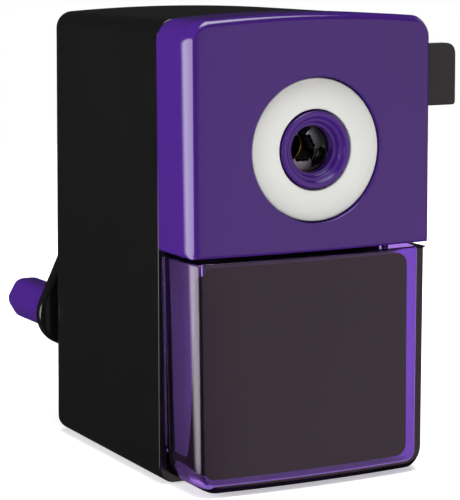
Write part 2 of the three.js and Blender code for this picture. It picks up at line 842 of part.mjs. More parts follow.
// ---- drawer ------------------------------------------------------------------------------------
function drawer() {
  const topHalf = halfBody - drawerInset;
  const lowHalf = topHalf - drawerTaper;
  const low = bodyBottom;
  const outline = (shrink, up) => rounded([
    [-lowHalf + shrink, low + up, drawerCorner - shrink],
    [lowHalf - shrink, low + up, drawerCorner - shrink],
    [topHalf - shrink, drawerTop + (up ? 5 : 0), 0],
    [-topHalf + shrink, drawerTop + (up ? 5 : 0), 0],
  ]);
  const plan = bowedPlan(topHalf, faceY, frontBow, frontRound, 1);
  const profile = rounded([
    [faceY - 1, drawerTop + 1, 0],
    [faceY - 1, low + 20, 0],
    [faceY, low + 20, 0],
    [faceY, low, drawerLowRound],
    [1, low, 0],
    [1, drawerTop + 1, 0],
  ]);
  const front = common(
    alongY(outline(0, 0), faceY - 1, -rimGap, 5),
    alongZ(plan, low - 1, drawerTop + 1, 8),
    alongX(profile, -halfBody, halfBody, 5),
  );
  const boxHalf = halfInner - slideGap;
  const boxLow = floorTop + slideGap;
  const boxTop = shelfLow - slideGap;
  const corner = Math.max(bodyCorner - bodyWall, 1);
  const box = (shrink, high) => rounded([
    [-boxHalf + shrink, boxLow + shrink, corner],
    [boxHalf - shrink, boxLow + shrink, corner],
    [boxHalf - shrink, high, 0],
    [-boxHalf + shrink, high, 0],
  ]);
  const solid = cut(
    join(front, alongY(box(0, boxTop), -rimGap - drawerWall, drawerBackY, 4)),
    alongY(box(boxWall, drawerTop + 5), -rimGap - drawerWall - 1, drawerBackY - boxWall, 4),
    common(
      alongY(outline(drawerWall, drawerWall), faceY, -rimGap - drawerWall, 5),
      alongZ(
        bowedPlan(topHalf - drawerWall, faceY + drawerWall, frontBow, frontRound, 1),
        low,
        drawerTop + 6,
        8,
      ),
    ),
  );
  return piece('drawer', solid, clearViolet());
}

// ---- front carriage ----------------------------------------------------------------------------
function coverSolid(shrink) {
  const low = coverBottom + shrink;
  const half = halfCover - shrink;
  const high = coverTop - shrink;
  const topCorner = coverCorner - shrink;
  return archedOutline(half, low, high, coverCrown, topCorner, Math.max(coverLowCorner - shrink, 0));
}

// The lever's slot spans the tab's height from rest to fully pressed, where it meets the wall.
function leverSlot() {
  const swing = THREE.MathUtils.degToRad(leverSwing);
  const wallX = halfCoverInner;
  const reach = wallX / Math.cos(swing) - leverLow * Math.tan(swing);
  const lowest = leverLow * Math.cos(swing) - reach * Math.sin(swing);
  return [axisZ + lowest - 2.2, leverTop + 0.8];
}

const springSeat = () => {
  const x = halfCoverInner - 5.5;
  return { x, y: leverY + leverThick / 2, low: axisZ - 9, high: axisZ + leverLow - fit };
};

function frontCover() {
  const plan = bowedPlan(halfCover, faceY, frontBow, frontRound, 1);
  const profile = rounded([
    [1, coverBottom - 1, 0],
    [1, coverTop + 1, 0],
    [faceY + 8, coverTop + 1, 0],
    [faceY + 8, coverTop, 0],
    [faceY, coverTop, topRound],
    [faceY, coverBottom, 0.8],
    [faceY + 6, coverBottom, 0],
    [faceY + 6, coverBottom - 1, 0],
  ]);
  let cover = common(
    alongY(coverSolid(0), faceY - 1, -rimGap),
    alongZ(plan, coverBottom - 1, coverTop + 1, 6),
    alongX(profile, -halfCover - 1, halfCover + 1, 4),
  );
  cover = cut(cover, alongY(coverSolid(coverWall), coverInnerY, 1));
  cover = join(cover, bar(ringRadius + fit + 2, coverInnerY - 0.5, padY, 0, axisZ, 36));
  cover = cut(cover, bar(ringRadius + fit, faceY - 2, ringFloorY, 0, axisZ, 40));
  const lipY = ringFaceY - lipProud;
  const lip = turned([
    [mouthRadius, ringFloorY + 0.5],
    [lipRadius, ringFloorY + 0.5],
    [lipRadius, lipY + 0.6],
    [lipRadius - 0.6, lipY],
    [mouthRadius + 2.1, lipY],
    [mouthRadius + 1.1, lipY + 0.7],
    [mouthRadius + 0.7, lipY + 2.2],
    [mouthRadius, lipY + 2.3],
    [mouthRadius, ringFloorY + 0.5],
  ], 0, axisZ, 32);
  cover = join(cover, lip);
  cover = cut(cover, bar(mouthRadius, lipY + 2.2, padY + 1, 0, axisZ, 32));
  for (const angle of postAngles) {
    const [x, z] = polar(postCircle, angle);
    cover = join(cover, bar(postRadius, coverInnerY - 0.5, padY, x, z, 12));
    cover = cut(cover, bar(chuckScrewRadius + fit, padY - 2.2, padY + 1, x, z, 10));
  }
  for (const [, side] of sides) {
    cover = join(cover, bar(rodBoss, coverInnerY - 0.5, coverInnerY + 7, side * rodX, rodZ, 14));
    cover = cut(cover, bar(rodRadius + fit, rodStartY - fit, 0, side * rodX, rodZ, 12));
  }
  const seat = springSeat();
  cover = join(
    cover,
    block(seat.x - 3, halfCoverInner + 0.5, coverInnerY - 0.5, seat.y + 3, seat.low - 1.6, seat.low),
  );
  const [slotLow, slotHigh] = leverSlot();
  cover = cut(
    cover,
    block(halfCoverInner - 1, halfCover + 1, leverY - 0.5, leverY + leverThick + 0.5,
      slotLow, slotHigh),
  );
  return piece('front_cover', cover, violetAbs());
}

function bezelRing() {
  const back = ringFaceY + ringThick;
  const ring = turned([
    [ringHole, back],
    [ringRadius, back],
    [ringRadius, ringFaceY + 0.4],
    [ringRadius - 0.4, ringFaceY],
    [ringHole + 0.4, ringFaceY],
    [ringHole, ringFaceY + 0.4],
    [ringHole, back],
  ], 0, axisZ, 40);
  return piece('bezel_ring', ring, ivoryAbs());
}

// Disc with jaw guides and three posts that hold the back plate clear of the cam ring.
function chuckFrontPlate() {
  const end = frontPlateY + plateThick;
  let plate = bar(plateRadius, frontPlateY, end, 0, axisZ, 36);
  for (const angle of postAngles) {
    const [x, z] = polar(postCircle, angle);
    plate = join(
      plate,
      bar(postRadius, frontPlateY, backPlateY - fit, x, z, 12),
      atAngle(block(12, postCircle, frontPlateY, end, -earHalf, earHalf), angle),
    );
  }
  for (const angle of jawAngles) {
    for (const side of [-1, 1]) {
      const guide = block(6.6, 16.4, end - 0.1, jawY + jawThick - 0.1,
        side * (jawWidth / 2 + running + 0.8) - 0.8, side * (jawWidth / 2 + running + 0.8) + 0.8);
      plate = join(plate, atAngle(guide, angle));
    }
  }
  plate = cut(plate, bar(plateHole, frontPlateY - 1, end + 1));
  for (const angle of postAngles) {
    const [x, z] = polar(postCircle, angle);
    plate = cut(plate, bar(chuckScrewRadius + fit, frontPlateY - 1, backPlateY + 1, x, z, 10));
  }
  return piece('chuck_front_plate', plate, blackAbs());
}

// Turns a solid drawn along +X about the pencil axis.
function atAngle(solid, degrees) {
  const matrix = new THREE.Matrix4()
    .makeTranslation(0, 0, axisZ)
    .multiply(new THREE.Matrix4().makeRotationY(-THREE.MathUtils.degToRad(degrees)));
  return solid.transform(matrix.elements);
}

function chuckBackPlate() {
  let plate = bar(plateRadius, backPlateY, backPlateEndY, 0, axisZ, 36);
  for (const angle of postAngles) {
    const [x, z] = polar(postCircle, angle);
    plate = join(
      plate,
      bar(postRadius, backPlateY, backPlateEndY, x, z, 12),
      atAngle(block(12, postCircle, backPlateY, backPlateEndY, -earHalf, earHalf), angle),
    );
    plate = cut(plate, bar(chuckScrewRadius + fit, backPlateY - 1, backPlateEndY + 1, x, z, 10));
  }
  plate = cut(plate, bar(hubRadius - 1, backPlateY - 1, backPlateEndY + 1));
  return piece('chuck_back_plate', plate, blackAbs());
}

function chuckScrews() {
  return postAngles.map((angle, i) => {
    const [x, z] = polar(postCircle, angle);
    const headY = backPlateEndY + fit;
    const screw = cut(
      join(
        bar(2.3, headY, headY + 1.2, x, z, 12),
        bar(chuckScrewRadius, padY - 2.2 + fit, headY + 0.1, x, z, 10),
      ),
      crossSlot(2.3, headY + 0.6, headY + 2, x, z),
    );
    return piece(`chuck_screw_${i + 1}`, screw, steel());
  });
}

function chuckJaws() {
  const half = jawWidth / 2;
  const step = jawWidth / jawTeeth;
  const outline = new THREE.Shape();
  outline.moveTo(jawTip + jawToothDepth, -half);
  for (let i = 0; i < jawTeeth; i++) {
    const low = -half + i * step;
    outline.lineTo(jawTip, low + step / 2);
    outline.lineTo(jawTip + jawToothDepth, low + step);
  }
  outline.lineTo(jawTip + jawLength, half);
  outline.lineTo(jawTip + jawLength, -half);
  outline.closePath();
  return jawAngles.map((angle, i) => {
    const jaw = join(
      alongY(outline, jawY, jawY + jawThick),
      bar(jawPinRadius, jawY + jawThick - 0.1, camY + camThick - 0.1, jawTip + jawPinAt, 0, 16),
    );
    return piece(`chuck_jaw_${i + 1}`, atAngle(jaw, angle), darkSteel());
  });
}

// Slot for a jaw pin: its middle line is r = pin circle + travel x turn / swing.
function camSlot() {
  const swing = THREE.MathUtils.degToRad(leverSwing);
  const start = jawTip + jawPinAt;
  const slope = Math.atan(jawTravel / swing / (start + jawTravel / 2));
  const half = (jawPinRadius + fit) / Math.cos(slope);
  const over = (jawPinRadius + fit + 0.3) / start;
  const edge = (side) => {
    const points = [];
    for (let i = 0; i <= 8; i++) {
      const turn = -over + ((swing + 2 * over) * i) / 8;
      const radius = start + (jawTravel * turn) / swing + side * half;
      points.push(new THREE.Vector2(radius * Math.cos(turn), radius * Math.sin(turn)));
    }
    return points;
  };
  const outline = new THREE.Shape([...edge(-1), ...edge(1).reverse()]);
  return alongY(outline, camY - 1, camY + camThick + 1);
}

function rivetPlaces() {
  const x = leverInner + 2.2;
  return [[x, axisZ + leverLow + 3], [x, axisZ + leverLow + 7.5]];
}

// Outer end of the cam ring's arm: its top corner turns inside the cover's side wall.
function camArmEnd(top) {
  const reach = halfCoverInner - 0.6;
  return Math.sqrt(reach * reach - top * top);
}

function camRing() {
  const end = camY + camThick;
  const z = axisZ + leverLow;
  const armTall = 9.6;
  const armX = camArmEnd(leverLow + armTall);
  const arm = alongY(rounded([
    [camHole + 5, z - 4, 0],
    [armX, z + 0.4, 1],
    [armX, z + armTall, 1],
    [leverInner - 3, z + armTall, 1],
    [camHole + 4, z + 6, 0],
  ]), camY, end);
  let ring = join(bar(plateRadius, camY, end, 0, axisZ, 36), arm);
  ring = cut(ring, bar(camHole, camY - 1, end + 1, 0, axisZ, 32));
  for (const angle of jawAngles) ring = cut(ring, atAngle(camSlot(), angle));
  for (const [x, rivetZ] of rivetPlaces()) {
    ring = cut(ring, bar(rivetRadius + fit, camY - 1, end + 1, x, rivetZ, 10));
  }
  return piece('cam_ring', ring, darkSteel());
}

function releaseLever() {
  const z = axisZ + leverLow;
  let lever = alongY(rounded([
    [leverInner, z, 1],
    [leverTip, z, leverSmallRound],
    [leverTip, leverTop, leverBigRound],
    [leverInner + 3, leverTop, 2],
    [leverInner, z + 10, 2],
  ]), leverY, leverY + leverThick);
  for (const [x, rivetZ] of rivetPlaces()) {
    lever = cut(lever, bar(rivetRadius + fit, leverY - 1, leverY + leverThick + 1, x, rivetZ, 10));
  }
  return piece('release_lever', lever, greyNylon());
}

function leverRivets() {
  return rivetPlaces().map(([x, z], i) => {
    const front = leverY - fit;
    const back = camY + camThick + fit;
    const rivet = join(
      bar(2, front - 0.7, front, x, z, 10),
      bar(rivetRadius, front - 0.1, back + 0.1, x, z, 10),
      bar(2, back, back + 0.7, x, z, 10),
    );
    return piece(`lever_rivet_${i + 1}`, rivet, steel());
  });
}

function leverSpring() {
  const seat = springSeat();
  const wire = 0.3;
  const length = seat.high - seat.low - 2 * wire - fit;
  const geometry = coil(1.7, wire, length, 6);
  geometry.rotateX(Math.PI / 2).translate(seat.x, seat.y, seat.low + wire + fit);
  return piece('lever_spring', solidOf(geometry), steel());
}

function guideRods() {
  return sides.map(([name, side]) => {
    const groove = rodEndY - clipThick - 1.4;
    const rod = turned([
      [0, rodStartY],
      [rodRadius, rodStartY],
      [rodRadius, groove],
      [rodRadius - 0.5, groove],
      [rodRadius - 0.5, groove + clipThick + fit],
      [rodRadius, groove + clipThick + fit],
      [rodRadius, rodEndY - 0.4],
      [rodRadius - 0.4, rodEndY],
      [0, rodEndY],
    ], side * rodX, rodZ, 12);
    return piece(`guide_rod_${name}`, rod, steel());
  });
}

function rodClips() {
  return sides.map(([name, side]) => {
    const x = side * rodX;
    const start = rodEndY - clipThick - 1.4 + fit / 2;
    const clip = cut(
      bar(clipRadius, start, start + clipThick, x, rodZ, 12),
      bar(rodRadius - 0.5 + fit / 2, start - 1, start + clipThick + 1, x, rodZ, 10),
      block(x - 0.8, x + 0.8, start - 1, start + clipThick + 1, rodZ - 5, rodZ),
    );
    return piece(`rod_clip_${name}`, clip, darkSteel());
  });
}

function feedSprings() {
  return sides.map(([name, side]) => {
    const start = frameEndY + wireRadius + fit;
    const end = rodEndY - clipThick - 1.4 - wireRadius;
    const geometry = coil(springRadius, wireRadius, end - start, springTurns);
    geometry.translate(side * rodX, start, rodZ);
    return piece(`feed_spring_${name}`, solidOf(geometry), steel());
  });
}

// ---- assembly ----------------------------------------------------------------------------------
function assemble(...pieces) {
  const group = new THREE.Group();
  group.add(...pieces.flat());
  return group;
}

const housing = assemble(bodyShell(), basePlate(), feet(), baseScrews(), mechanismFrame(),
  frameScrews(), ringGear(), pencilSleeve(), rearBushing());
const crank = assemble(cutterCarrier(), cutterAxle(), crankShaft(), crankArm(), crankNut(),
  handlePin());
const cutter = assemble(helicalCutter(), cutterPinion());
const carriage = assemble(frontCover(), bezelRing(), chuckFrontPlate(), chuckBackPlate(),
  chuckScrews(), guideRods(), rodClips(), feedSprings(), leverSpring());
const lever = assemble(camRing(), releaseLever(), leverRivets());
const sharpener = new THREE.Group();
sharpener.add(housing, crank, cutter, handleGrip(), drawer(), carriage, lever, ...chuckJaws());
// The origin is on the desk under the middle of the body.
sharpener.position.y = -bodyDepth / 2;

export default sharpener;
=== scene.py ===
import json
import math

import bmesh
import bpy
import numpy as np
from mathutils import Matrix, Vector


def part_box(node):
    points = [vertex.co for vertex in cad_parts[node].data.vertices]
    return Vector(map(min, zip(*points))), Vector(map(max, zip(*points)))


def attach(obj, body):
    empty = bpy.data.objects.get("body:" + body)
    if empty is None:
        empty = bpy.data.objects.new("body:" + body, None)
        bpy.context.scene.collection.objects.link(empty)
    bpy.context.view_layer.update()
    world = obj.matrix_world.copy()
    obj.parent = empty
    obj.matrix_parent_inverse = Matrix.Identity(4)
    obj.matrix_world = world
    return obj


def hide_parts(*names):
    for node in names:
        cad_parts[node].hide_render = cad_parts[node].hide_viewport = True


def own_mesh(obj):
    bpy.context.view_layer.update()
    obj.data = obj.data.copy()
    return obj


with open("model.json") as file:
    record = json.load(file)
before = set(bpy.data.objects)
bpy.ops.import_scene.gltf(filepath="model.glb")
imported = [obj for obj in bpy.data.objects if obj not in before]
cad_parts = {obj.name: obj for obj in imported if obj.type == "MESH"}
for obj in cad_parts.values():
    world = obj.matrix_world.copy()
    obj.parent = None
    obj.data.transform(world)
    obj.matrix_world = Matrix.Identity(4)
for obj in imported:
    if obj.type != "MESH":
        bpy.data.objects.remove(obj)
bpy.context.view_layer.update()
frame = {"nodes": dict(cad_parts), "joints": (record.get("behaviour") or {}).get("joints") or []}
mm = 0.001
turn90 = math.pi / 2
print("frame loaded:", len(frame["nodes"]), "nodes")


def boxOf(node):
    # lowest and highest corner of a node of the frame, in millimetres
    low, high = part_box(node)
    return np.array(low) / mm, np.array(high) / mm


def middleOf(node, upright=False):
    # middle of a node's box, seen along Y (or from above)
    low, high = boxOf(node)
    across = 1 if upright else 2
    return (low[0] + high[0]) / 2, (low[across] + high[across]) / 2


def jointOf(name):
    return next(j for j in frame["joints"] if j["name"] == name)


# places that several pieces share, in millimetres
bodyLow, bodyHigh = boxOf("body_shell")
coverLow, coverHigh = boxOf("front_cover")
drawerLow, drawerHigh = boxOf("drawer")
ringLow, ringHigh = boxOf("bezel_ring")
armLow, armHigh = boxOf("crank_arm")
axisZ = (ringLow[2] + ringHigh[2]) / 2   # the pencil's axis
armAngle = math.radians(28)              # the hanging arm leans this much to the left


# Colours and nodes

def linear(hexColour):
    # sRGB hex to linear: c/12.92 under 0.04045, else ((c + 0.055) / 1.055) ** 2.4
    parts = [int(hexColour[i:i + 2], 16) / 255 for i in (1, 3, 5)]
    return [c / 12.92 if c <= 0.04045 else ((c + 0.055) / 1.055) ** 2.4 for c in parts] + [1]


def addNode(tree, kind, settings=None, links=None):
    # settings are the node's own properties or its inputs' values; links are input: output pairs
    node = tree.nodes.new(kind)
    for key, value in (settings or {}).items():
        if isinstance(key, str) and hasattr(node, key):
            setattr(node, key, value)
        else:
            node.inputs[key].default_value = value
    for key, output in (links or {}).items():
        tree.links.new(output, node.inputs[key])
    return node


def newMaterial(name):
    material = bpy.data.materials.new(name)
    material.use_nodes = True
    material.node_tree.nodes.clear()
    return material, material.node_tree


def finish(material, tree, settings, tone, gloss, raised):
    # the shader with its own numbers and its three patterns, and the material's output
    shader = addNode(tree, "ShaderNodeBsdfPrincipled", settings, {
        "Base Color": tone.outputs[2], "Roughness": gloss.outputs[0],
        "Normal": raised.outputs["Normal"]})
    addNode(tree, "ShaderNodeOutputMaterial", None, {"Surface": shader.outputs["BSDF"]})
    return material


def mouldedPlastic(name, look):
    # Injection-moulded plastic: a slow flow of tone, a fine tool texture and patches where
    # handling has polished or dulled the gloss.
    material, tree = newMaterial(name)
    place = addNode(tree, "ShaderNodeTexCoord").outputs["Object"]
    flow = addNode(tree, "ShaderNodeTexNoise", {"Scale": 1 / (look["flowSize"] * mm), "Detail": 3},
                   {"Vector": place})
    tone = addNode(tree, "ShaderNodeMix", {"data_type": "RGBA", 6: linear(look["colour"]),
                                           7: linear(look["shade"])}, {0: flow.outputs["Fac"]})
    patch = addNode(tree, "ShaderNodeTexNoise", {"Scale": 1 / (look["patchSize"] * mm), "Detail": 5,
                                                 "Roughness": 0.62}, {"Vector": place})
    gloss = addNode(tree, "ShaderNodeMapRange", {"From Min": 0.3, "From Max": 0.7,
                                                 "To Min": look["roughness"] - look["spread"],
                                                 "To Max": look["roughness"] + look["spread"]},
                    {"Value": patch.outputs["Fac"]})
    grain = addNode(tree, "ShaderNodeTexNoise", {"Scale": 1 / (look["grainSize"] * mm),
                                                 "Detail": 2}, {"Vector": place})
    raised = addNode(tree, "ShaderNodeBump", {"Strength": look["grain"], "Distance": 0.02 * mm},
                     {"Height": grain.outputs["Fac"]})
    wave = addNode(tree, "ShaderNodeBump", {"Strength": look["wave"], "Distance": 0.15 * mm},
                   {"Height": flow.outputs["Fac"], "Normal": raised.outputs["Normal"]})
    numbers = {"IOR": look["ior"], "Specular IOR Level": look.get("specular", 0.5)}
    return finish(material, tree, numbers, tone, gloss, wave)


def clearPlastic(name, look):
    # Clear tinted styrene, polished in the mould: sharp gloss outside, and the tint is read
    # through the wall.
    material, tree = newMaterial(name)
    place = addNode(tree, "ShaderNodeTexCoord").outputs["Object"]
    flow = addNode(tree, "ShaderNodeTexNoise", {"Scale": 1 / (look["flowSize"] * mm), "Detail": 2},
                   {"Vector": place})
    tone = addNode(tree, "ShaderNodeMix", {"data_type": "RGBA", 6: linear(look["colour"]),
                                           7: linear(look["shade"])}, {0: flow.outputs["Fac"]})
    patch = addNode(tree, "ShaderNodeTexNoise", {"Scale": 1 / (look["patchSize"] * mm),
                                                 "Detail": 5}, {"Vector": place})
    gloss = addNode(tree, "ShaderNodeMapRange", {"From Min": 0.35, "From Max": 0.75,
                                                 "To Min": look["roughness"],
                                                 "To Max": look["roughness"] + look["spread"]},
                    {"Value": patch.outputs["Fac"]})
    wave = addNode(tree, "ShaderNodeBump", {"Strength": look["wave"], "Distance": 0.1 * mm},
                   {"Height": flow.outputs["Fac"]})
    numbers = {"IOR": look["ior"], "Transmission Weight": look["clear"]}
    return finish(material, tree, numbers, tone, gloss, wave)


def machinedMetal(name, look):
    # Turned, drawn or cast metal: streaks that run across the tool's path, and tone that
    # follows them.
    material, tree = newMaterial(name)
    place = addNode(tree, "ShaderNodeTexCoord").outputs["Object"]
    scale = [1 / (s * mm) for s in look["streak"]]
    stretched = addNode(tree, "ShaderNodeMapping", {"Scale": scale}, {"Vector": place})
    streak = addNode(tree, "ShaderNodeTexNoise", {"Scale": 1, "Detail": 4, "Roughness": 0.6},
                     {"Vector": stretched.outputs["Vector"]})
    tone = addNode(tree, "ShaderNodeMix", {"data_type": "RGBA", 6: linear(look["colour"]),
                                           7: linear(look["shade"])}, {0: streak.outputs["Fac"]})
    gloss = addNode(tree, "ShaderNodeMapRange", {"From Min": 0.3, "From Max": 0.7,
                                                 "To Min": look["roughness"] - look["spread"],
                                                 "To Max": look["roughness"] + look["spread"]},
                    {"Value": streak.outputs["Fac"]})
    raised = addNode(tree, "ShaderNodeBump", {"Strength": look["grain"], "Distance": 0.03 * mm},
                     {"Height": streak.outputs["Fac"]})
    return finish(material, tree, {"Metallic": 1}, tone, gloss, raised)


# Black ABS, moulded satin: near-black with a soft sheen that shows the long round edges.
blackAbs = mouldedPlastic("black ABS, moulded satin", {
    "colour": "#0B0B0B", "shade": "#0F0F0E", "ior": 1.54, "roughness": 0.16, "spread": 0.03,
    "flowSize": 24, "patchSize": 14, "grainSize": 0.5, "grain": 0.1, "wave": 0.06})
# Violet ABS, moulded gloss: deep saturated colour under a clean bright reflection.
violetAbs = mouldedPlastic("violet ABS, moulded gloss", {
    "colour": "#381968", "shade": "#3B1B6C", "ior": 1.54, "roughness": 0.09, "spread": 0.03,
    "flowSize": 30, "patchSize": 11, "grainSize": 0.7, "grain": 0.06, "wave": 0.06})
# Ivory ABS, moulded matt: warm white that stays even, with a soft edge light.
ivoryAbs = mouldedPlastic("ivory ABS, moulded matt", {
    "colour": "#D6D8D5", "shade": "#D0D2CE", "ior": 1.54, "roughness": 0.42, "spread": 0.06,
    "flowSize": 14, "patchSize": 6, "grainSize": 0.4, "grain": 0.3, "wave": 0.05})
# Dark grey nylon, moulded: dull, slightly dry surface on the lever's tab.
greyNylon = mouldedPlastic("dark grey nylon, moulded", {
    "colour": "#1F2225", "shade": "#24272A", "ior": 1.53, "roughness": 0.46, "spread": 0.06,
    "flowSize": 12, "patchSize": 5, "grainSize": 0.35, "grain": 0.5, "wave": 0.08})
# Black styrene, moulded matt: flat warm black that the clear wall in front of it turns plum.
liningPlastic = mouldedPlastic("black styrene, moulded matt", {
    "colour": "#38352B", "shade": "#3E3A2F", "ior": 1.57, "roughness": 0.5, "spread": 0.06,
    "specular": 0.15, "flowSize": 40, "patchSize": 16, "grainSize": 0.4, "grain": 0.2,
    "wave": 0.05})
# Black rubber, pressed: no gloss, a dusty grain.
blackRubber = mouldedPlastic("black rubber, pressed", {
    "colour": "#1B1B1B", "shade": "#262525", "ior": 1.52, "roughness": 0.82, "spread": 0.08,
    "flowSize": 6, "patchSize": 3, "grainSize": 0.3, "grain": 0.9, "wave": 0.1})
# Clear violet styrene, moulded gloss: dark where the bay is behind it, bright where the room is.
clearViolet = clearPlastic("clear violet styrene, moulded gloss", {
    "colour": "#9C72D0", "shade": "#966CCB", "ior": 1.57, "roughness": 0.03, "spread": 0.04,
    "clear": 1.0, "flowSize": 26, "patchSize": 8, "wave": 0.05})
# Bright steel, turned: fine rings round the rods, shaft and pin.
brightSteel = machinedMetal("bright steel, turned", {
    "colour": "#C9CBCD", "shade": "#AEB0B3", "roughness": 0.26, "spread": 0.07,
    "streak": (3, 0.18, 3), "grain": 0.25})
# Dark steel, hardened and oiled: blue-black jaws, cam and cutter.
darkSteel = machinedMetal("dark steel, hardened", {
    "colour": "#6B6E72", "shade": "#4A4C50", "roughness": 0.38, "spread": 0.09,
    "streak": (0.9, 0.9, 0.9), "grain": 0.35})
# Zinc, die cast: grey with a faint sandy skin.
castZinc = machinedMetal("zinc, die cast", {
    "colour": "#A3A5A8", "shade": "#868889", "roughness": 0.5, "spread": 0.08,
    "streak": (0.5, 0.5, 0.5), "grain": 0.6})
# Brass, turned: the pencil's sleeve and the rear bush.
turnedBrass = machinedMetal("brass, turned", {
    "colour": "#8F7446", "shade": "#6E5936", "roughness": 0.34, "spread": 0.07,
    "streak": (3, 0.15, 3), "grain": 0.25})
print("materials made")


# Surfaces

def solidFrom(name, x, y, z, loop=False):
    # Rings of points become one closed skin: neighbours along and across are joined in quads, and
    # the first and last ring are closed by a face each, or the last ring is joined to the first.
    rows, count = np.broadcast(x, y, z).shape
    points = np.stack([np.broadcast_to(v, (rows, count)) for v in (x, y, z)], -1)
    points = points.reshape(-1, 3) * mm
    index = np.arange(rows * count).reshape(rows, count)
    here = index if loop else index[:-1]
    there = np.roll(index, -1, 0) if loop else index[1:]
    quads = np.stack([here, np.roll(here, -1, 1), np.roll(there, -1, 1), there], -1)
    faces = quads.reshape(-1, 4).tolist()
    if not loop:
        faces += [index[0][::-1].tolist(), index[-1].tolist()]
    mesh = bpy.data.meshes.new(name)
    mesh.from_pydata(points, [], faces)
    return pieceFrom(name, mesh)


def pieceFrom(name, mesh):
    # merges doubled points, which also shuts poles, and turns the faces outwards
    shape = bmesh.new()
    shape.from_mesh(mesh)
    bmesh.ops.remove_doubles(shape, verts=shape.verts, dist=0.0005 * mm)
    flat = [f for f in shape.faces if f.calc_area() < 1e-16]
    bmesh.ops.delete(shape, geom=flat, context="FACES_ONLY")
    if shape.calc_volume(signed=True) < 0:
        bmesh.ops.reverse_faces(shape, faces=shape.faces)
    shape.to_mesh(mesh)
    shape.free()
    piece = bpy.data.objects.new(name, mesh)
    bpy.context.scene.collection.objects.link(piece)
    return piece


def softened(corners, steps=5, closed=True):
    # Corner points with a round each: a corner becomes a quadratic curve between the two points
    # that lie one round away from it along its edges.
    points = np.array([c[:2] for c in corners], float)
    rounds = np.array([c[2] for c in corners], float)[:, None]
    back = np.roll(points, 1, 0) - points
    ahead = np.roll(points, -1, 0) - points
    if not closed:
        back[0] = ahead[-1] = 0
    start = points + rounds * back / np.maximum(np.linalg.norm(back, axis=1, keepdims=True), 1e-9)
    end = points + rounds * ahead / np.maximum(np.linalg.norm(ahead, axis=1, keepdims=True), 1e-9)
    t = np.linspace(0, 1, steps + 1)[None, :, None]
    curve = (start[:, None] * (1 - t) ** 2 + 2 * points[:, None] * t * (1 - t)
             + end[:, None] * t ** 2)
    curve = curve.reshape(-1, 2)
    keep = np.linalg.norm(curve - np.roll(curve, 1, 0), axis=1) > 1e-6
    return curve[keep]


def outwardOf(outline):
    # mitred outward directions of an outline that runs anticlockwise
    edge = np.roll(outline, -1, 0) - outline
    normal = np.stack([edge[:, 1], -edge[:, 0]], 1) / np.linalg.norm(edge, axis=1, keepdims=True)
    before = np.roll(normal, 1, 0)
    return (normal + before) / (1 + (normal * before).sum(1, keepdims=True))


def plateFrom(name, outline, profile, upright=False):
    # An outline pushed along Y (or Z): each profile row gives how far in it is drawn, and where.
    inset, along = np.array(profile, float).T[:, :, None]
    outward = outwardOf(outline)
    a = outline[:, 0] - outward[:, 0] * inset
    b = outline[:, 1] - outward[:, 1] * inset
    return solidFrom(name, a, b, along) if upright else solidFrom(name, a, along, b)


def turnedFrom(name, profile, centre=(0, None), count=96, loop=False, upright=False):
    # A profile of radius and place turned about a line along Y (or Z) through the centre.
    radius, along = np.array(profile, float).T[:, :, None]
    angle = np.linspace(0, 2 * math.pi, count, endpoint=False)
    a = centre[0] + radius * np.cos(angle)
    b = (axisZ if centre[1] is None else centre[1]) + radius * np.sin(angle)
    return solidFrom(name, a, b, along, loop) if upright else solidFrom(name, a, along, b, loop)


def rodFrom(name, radius, start, end, centre=(0, None), count=96, upright=False):
    # a plain round bar, or the tool that cuts a round hole
    return turnedFrom(name, [(0, start), (radius, start), (radius, end), (0, end)], centre, count,
                      upright=upright)


def edgeRows(thin, thick, width, steps=4):
    # Rows of a plate with both faces' edges rounded: a quarter circle in, straight, a quarter out.
    t = np.linspace(0, turn90, steps + 1)
    near = np.stack([width * (1 - np.sin(t)), thin + width * (1 - np.cos(t))], 1)
    far = np.stack([width * (1 - np.cos(t)), thick - width * (1 - np.sin(t))], 1)
    return np.concatenate([near, far])


def roundedOutline(half, low, high, topRound, lowRound, along=16, arc=10):
    # Rectangles with quarter-circle corners, one ring of points for each row of sizes, from the
    # right side's upper end round over the top. Every ring has the same number of points.
    sizes = np.broadcast_arrays(*[np.atleast_1d(v).astype(float) for v in
                                  (half, low, high, topRound, lowRound)])
    half, low, high, topRound, lowRound = [v[:, None] for v in sizes]
    corners = [(half - topRound, high - topRound, topRound),
               (topRound - half, high - topRound, topRound),
               (lowRound - half, low + lowRound, lowRound),
               (half - lowRound, low + lowRound, lowRound)]
    turn = np.linspace(0, turn90, arc)[None, :]
    share = np.linspace(0, 1, along + 2)[None, 1:-1]
    x, z = [], []
    for i, (middleX, middleZ, radius) in enumerate(corners):
        nextX, nextZ, nextRadius = corners[(i + 1) % 4]
        x.append(middleX + radius * np.cos(turn + i * turn90))
        z.append(middleZ + radius * np.sin(turn + i * turn90))
        endX = nextX + nextRadius * math.cos((i + 1) * turn90)
        endZ = nextZ + nextRadius * math.sin((i + 1) * turn90)
        x.append(x[-1][:, -1:] + (endX - x[-1][:, -1:]) * share)
        z.append(z[-1][:, -1:] + (endZ - z[-1][:, -1:]) * share)
    return np.concatenate(x, 1), np.concatenate(z, 1)


def roundsAlong(side, top, low, along=16, arc=10):
    # An edge's round for each point of roundedOutline: at each corner it eases from one side's
    # to the next by half a cosine.
    ease = 0.5 - 0.5 * np.cos(np.linspace(0, math.pi, arc))
    ends = [(side, top), (top, side), (side, low), (low, side)]
    return np.concatenate([np.append(a + (b - a) * ease, np.full(along, b)) for a, b in ends])


def arched(x, z, half, low, high, crown):
    # the upper half is stretched up by the crown at the middle, and by nothing at the sides
    middle = (low + high) / 2
    return z + crown * (1 - (x / half) ** 2) * np.clip((z - middle) / (high - middle), 0, 1)


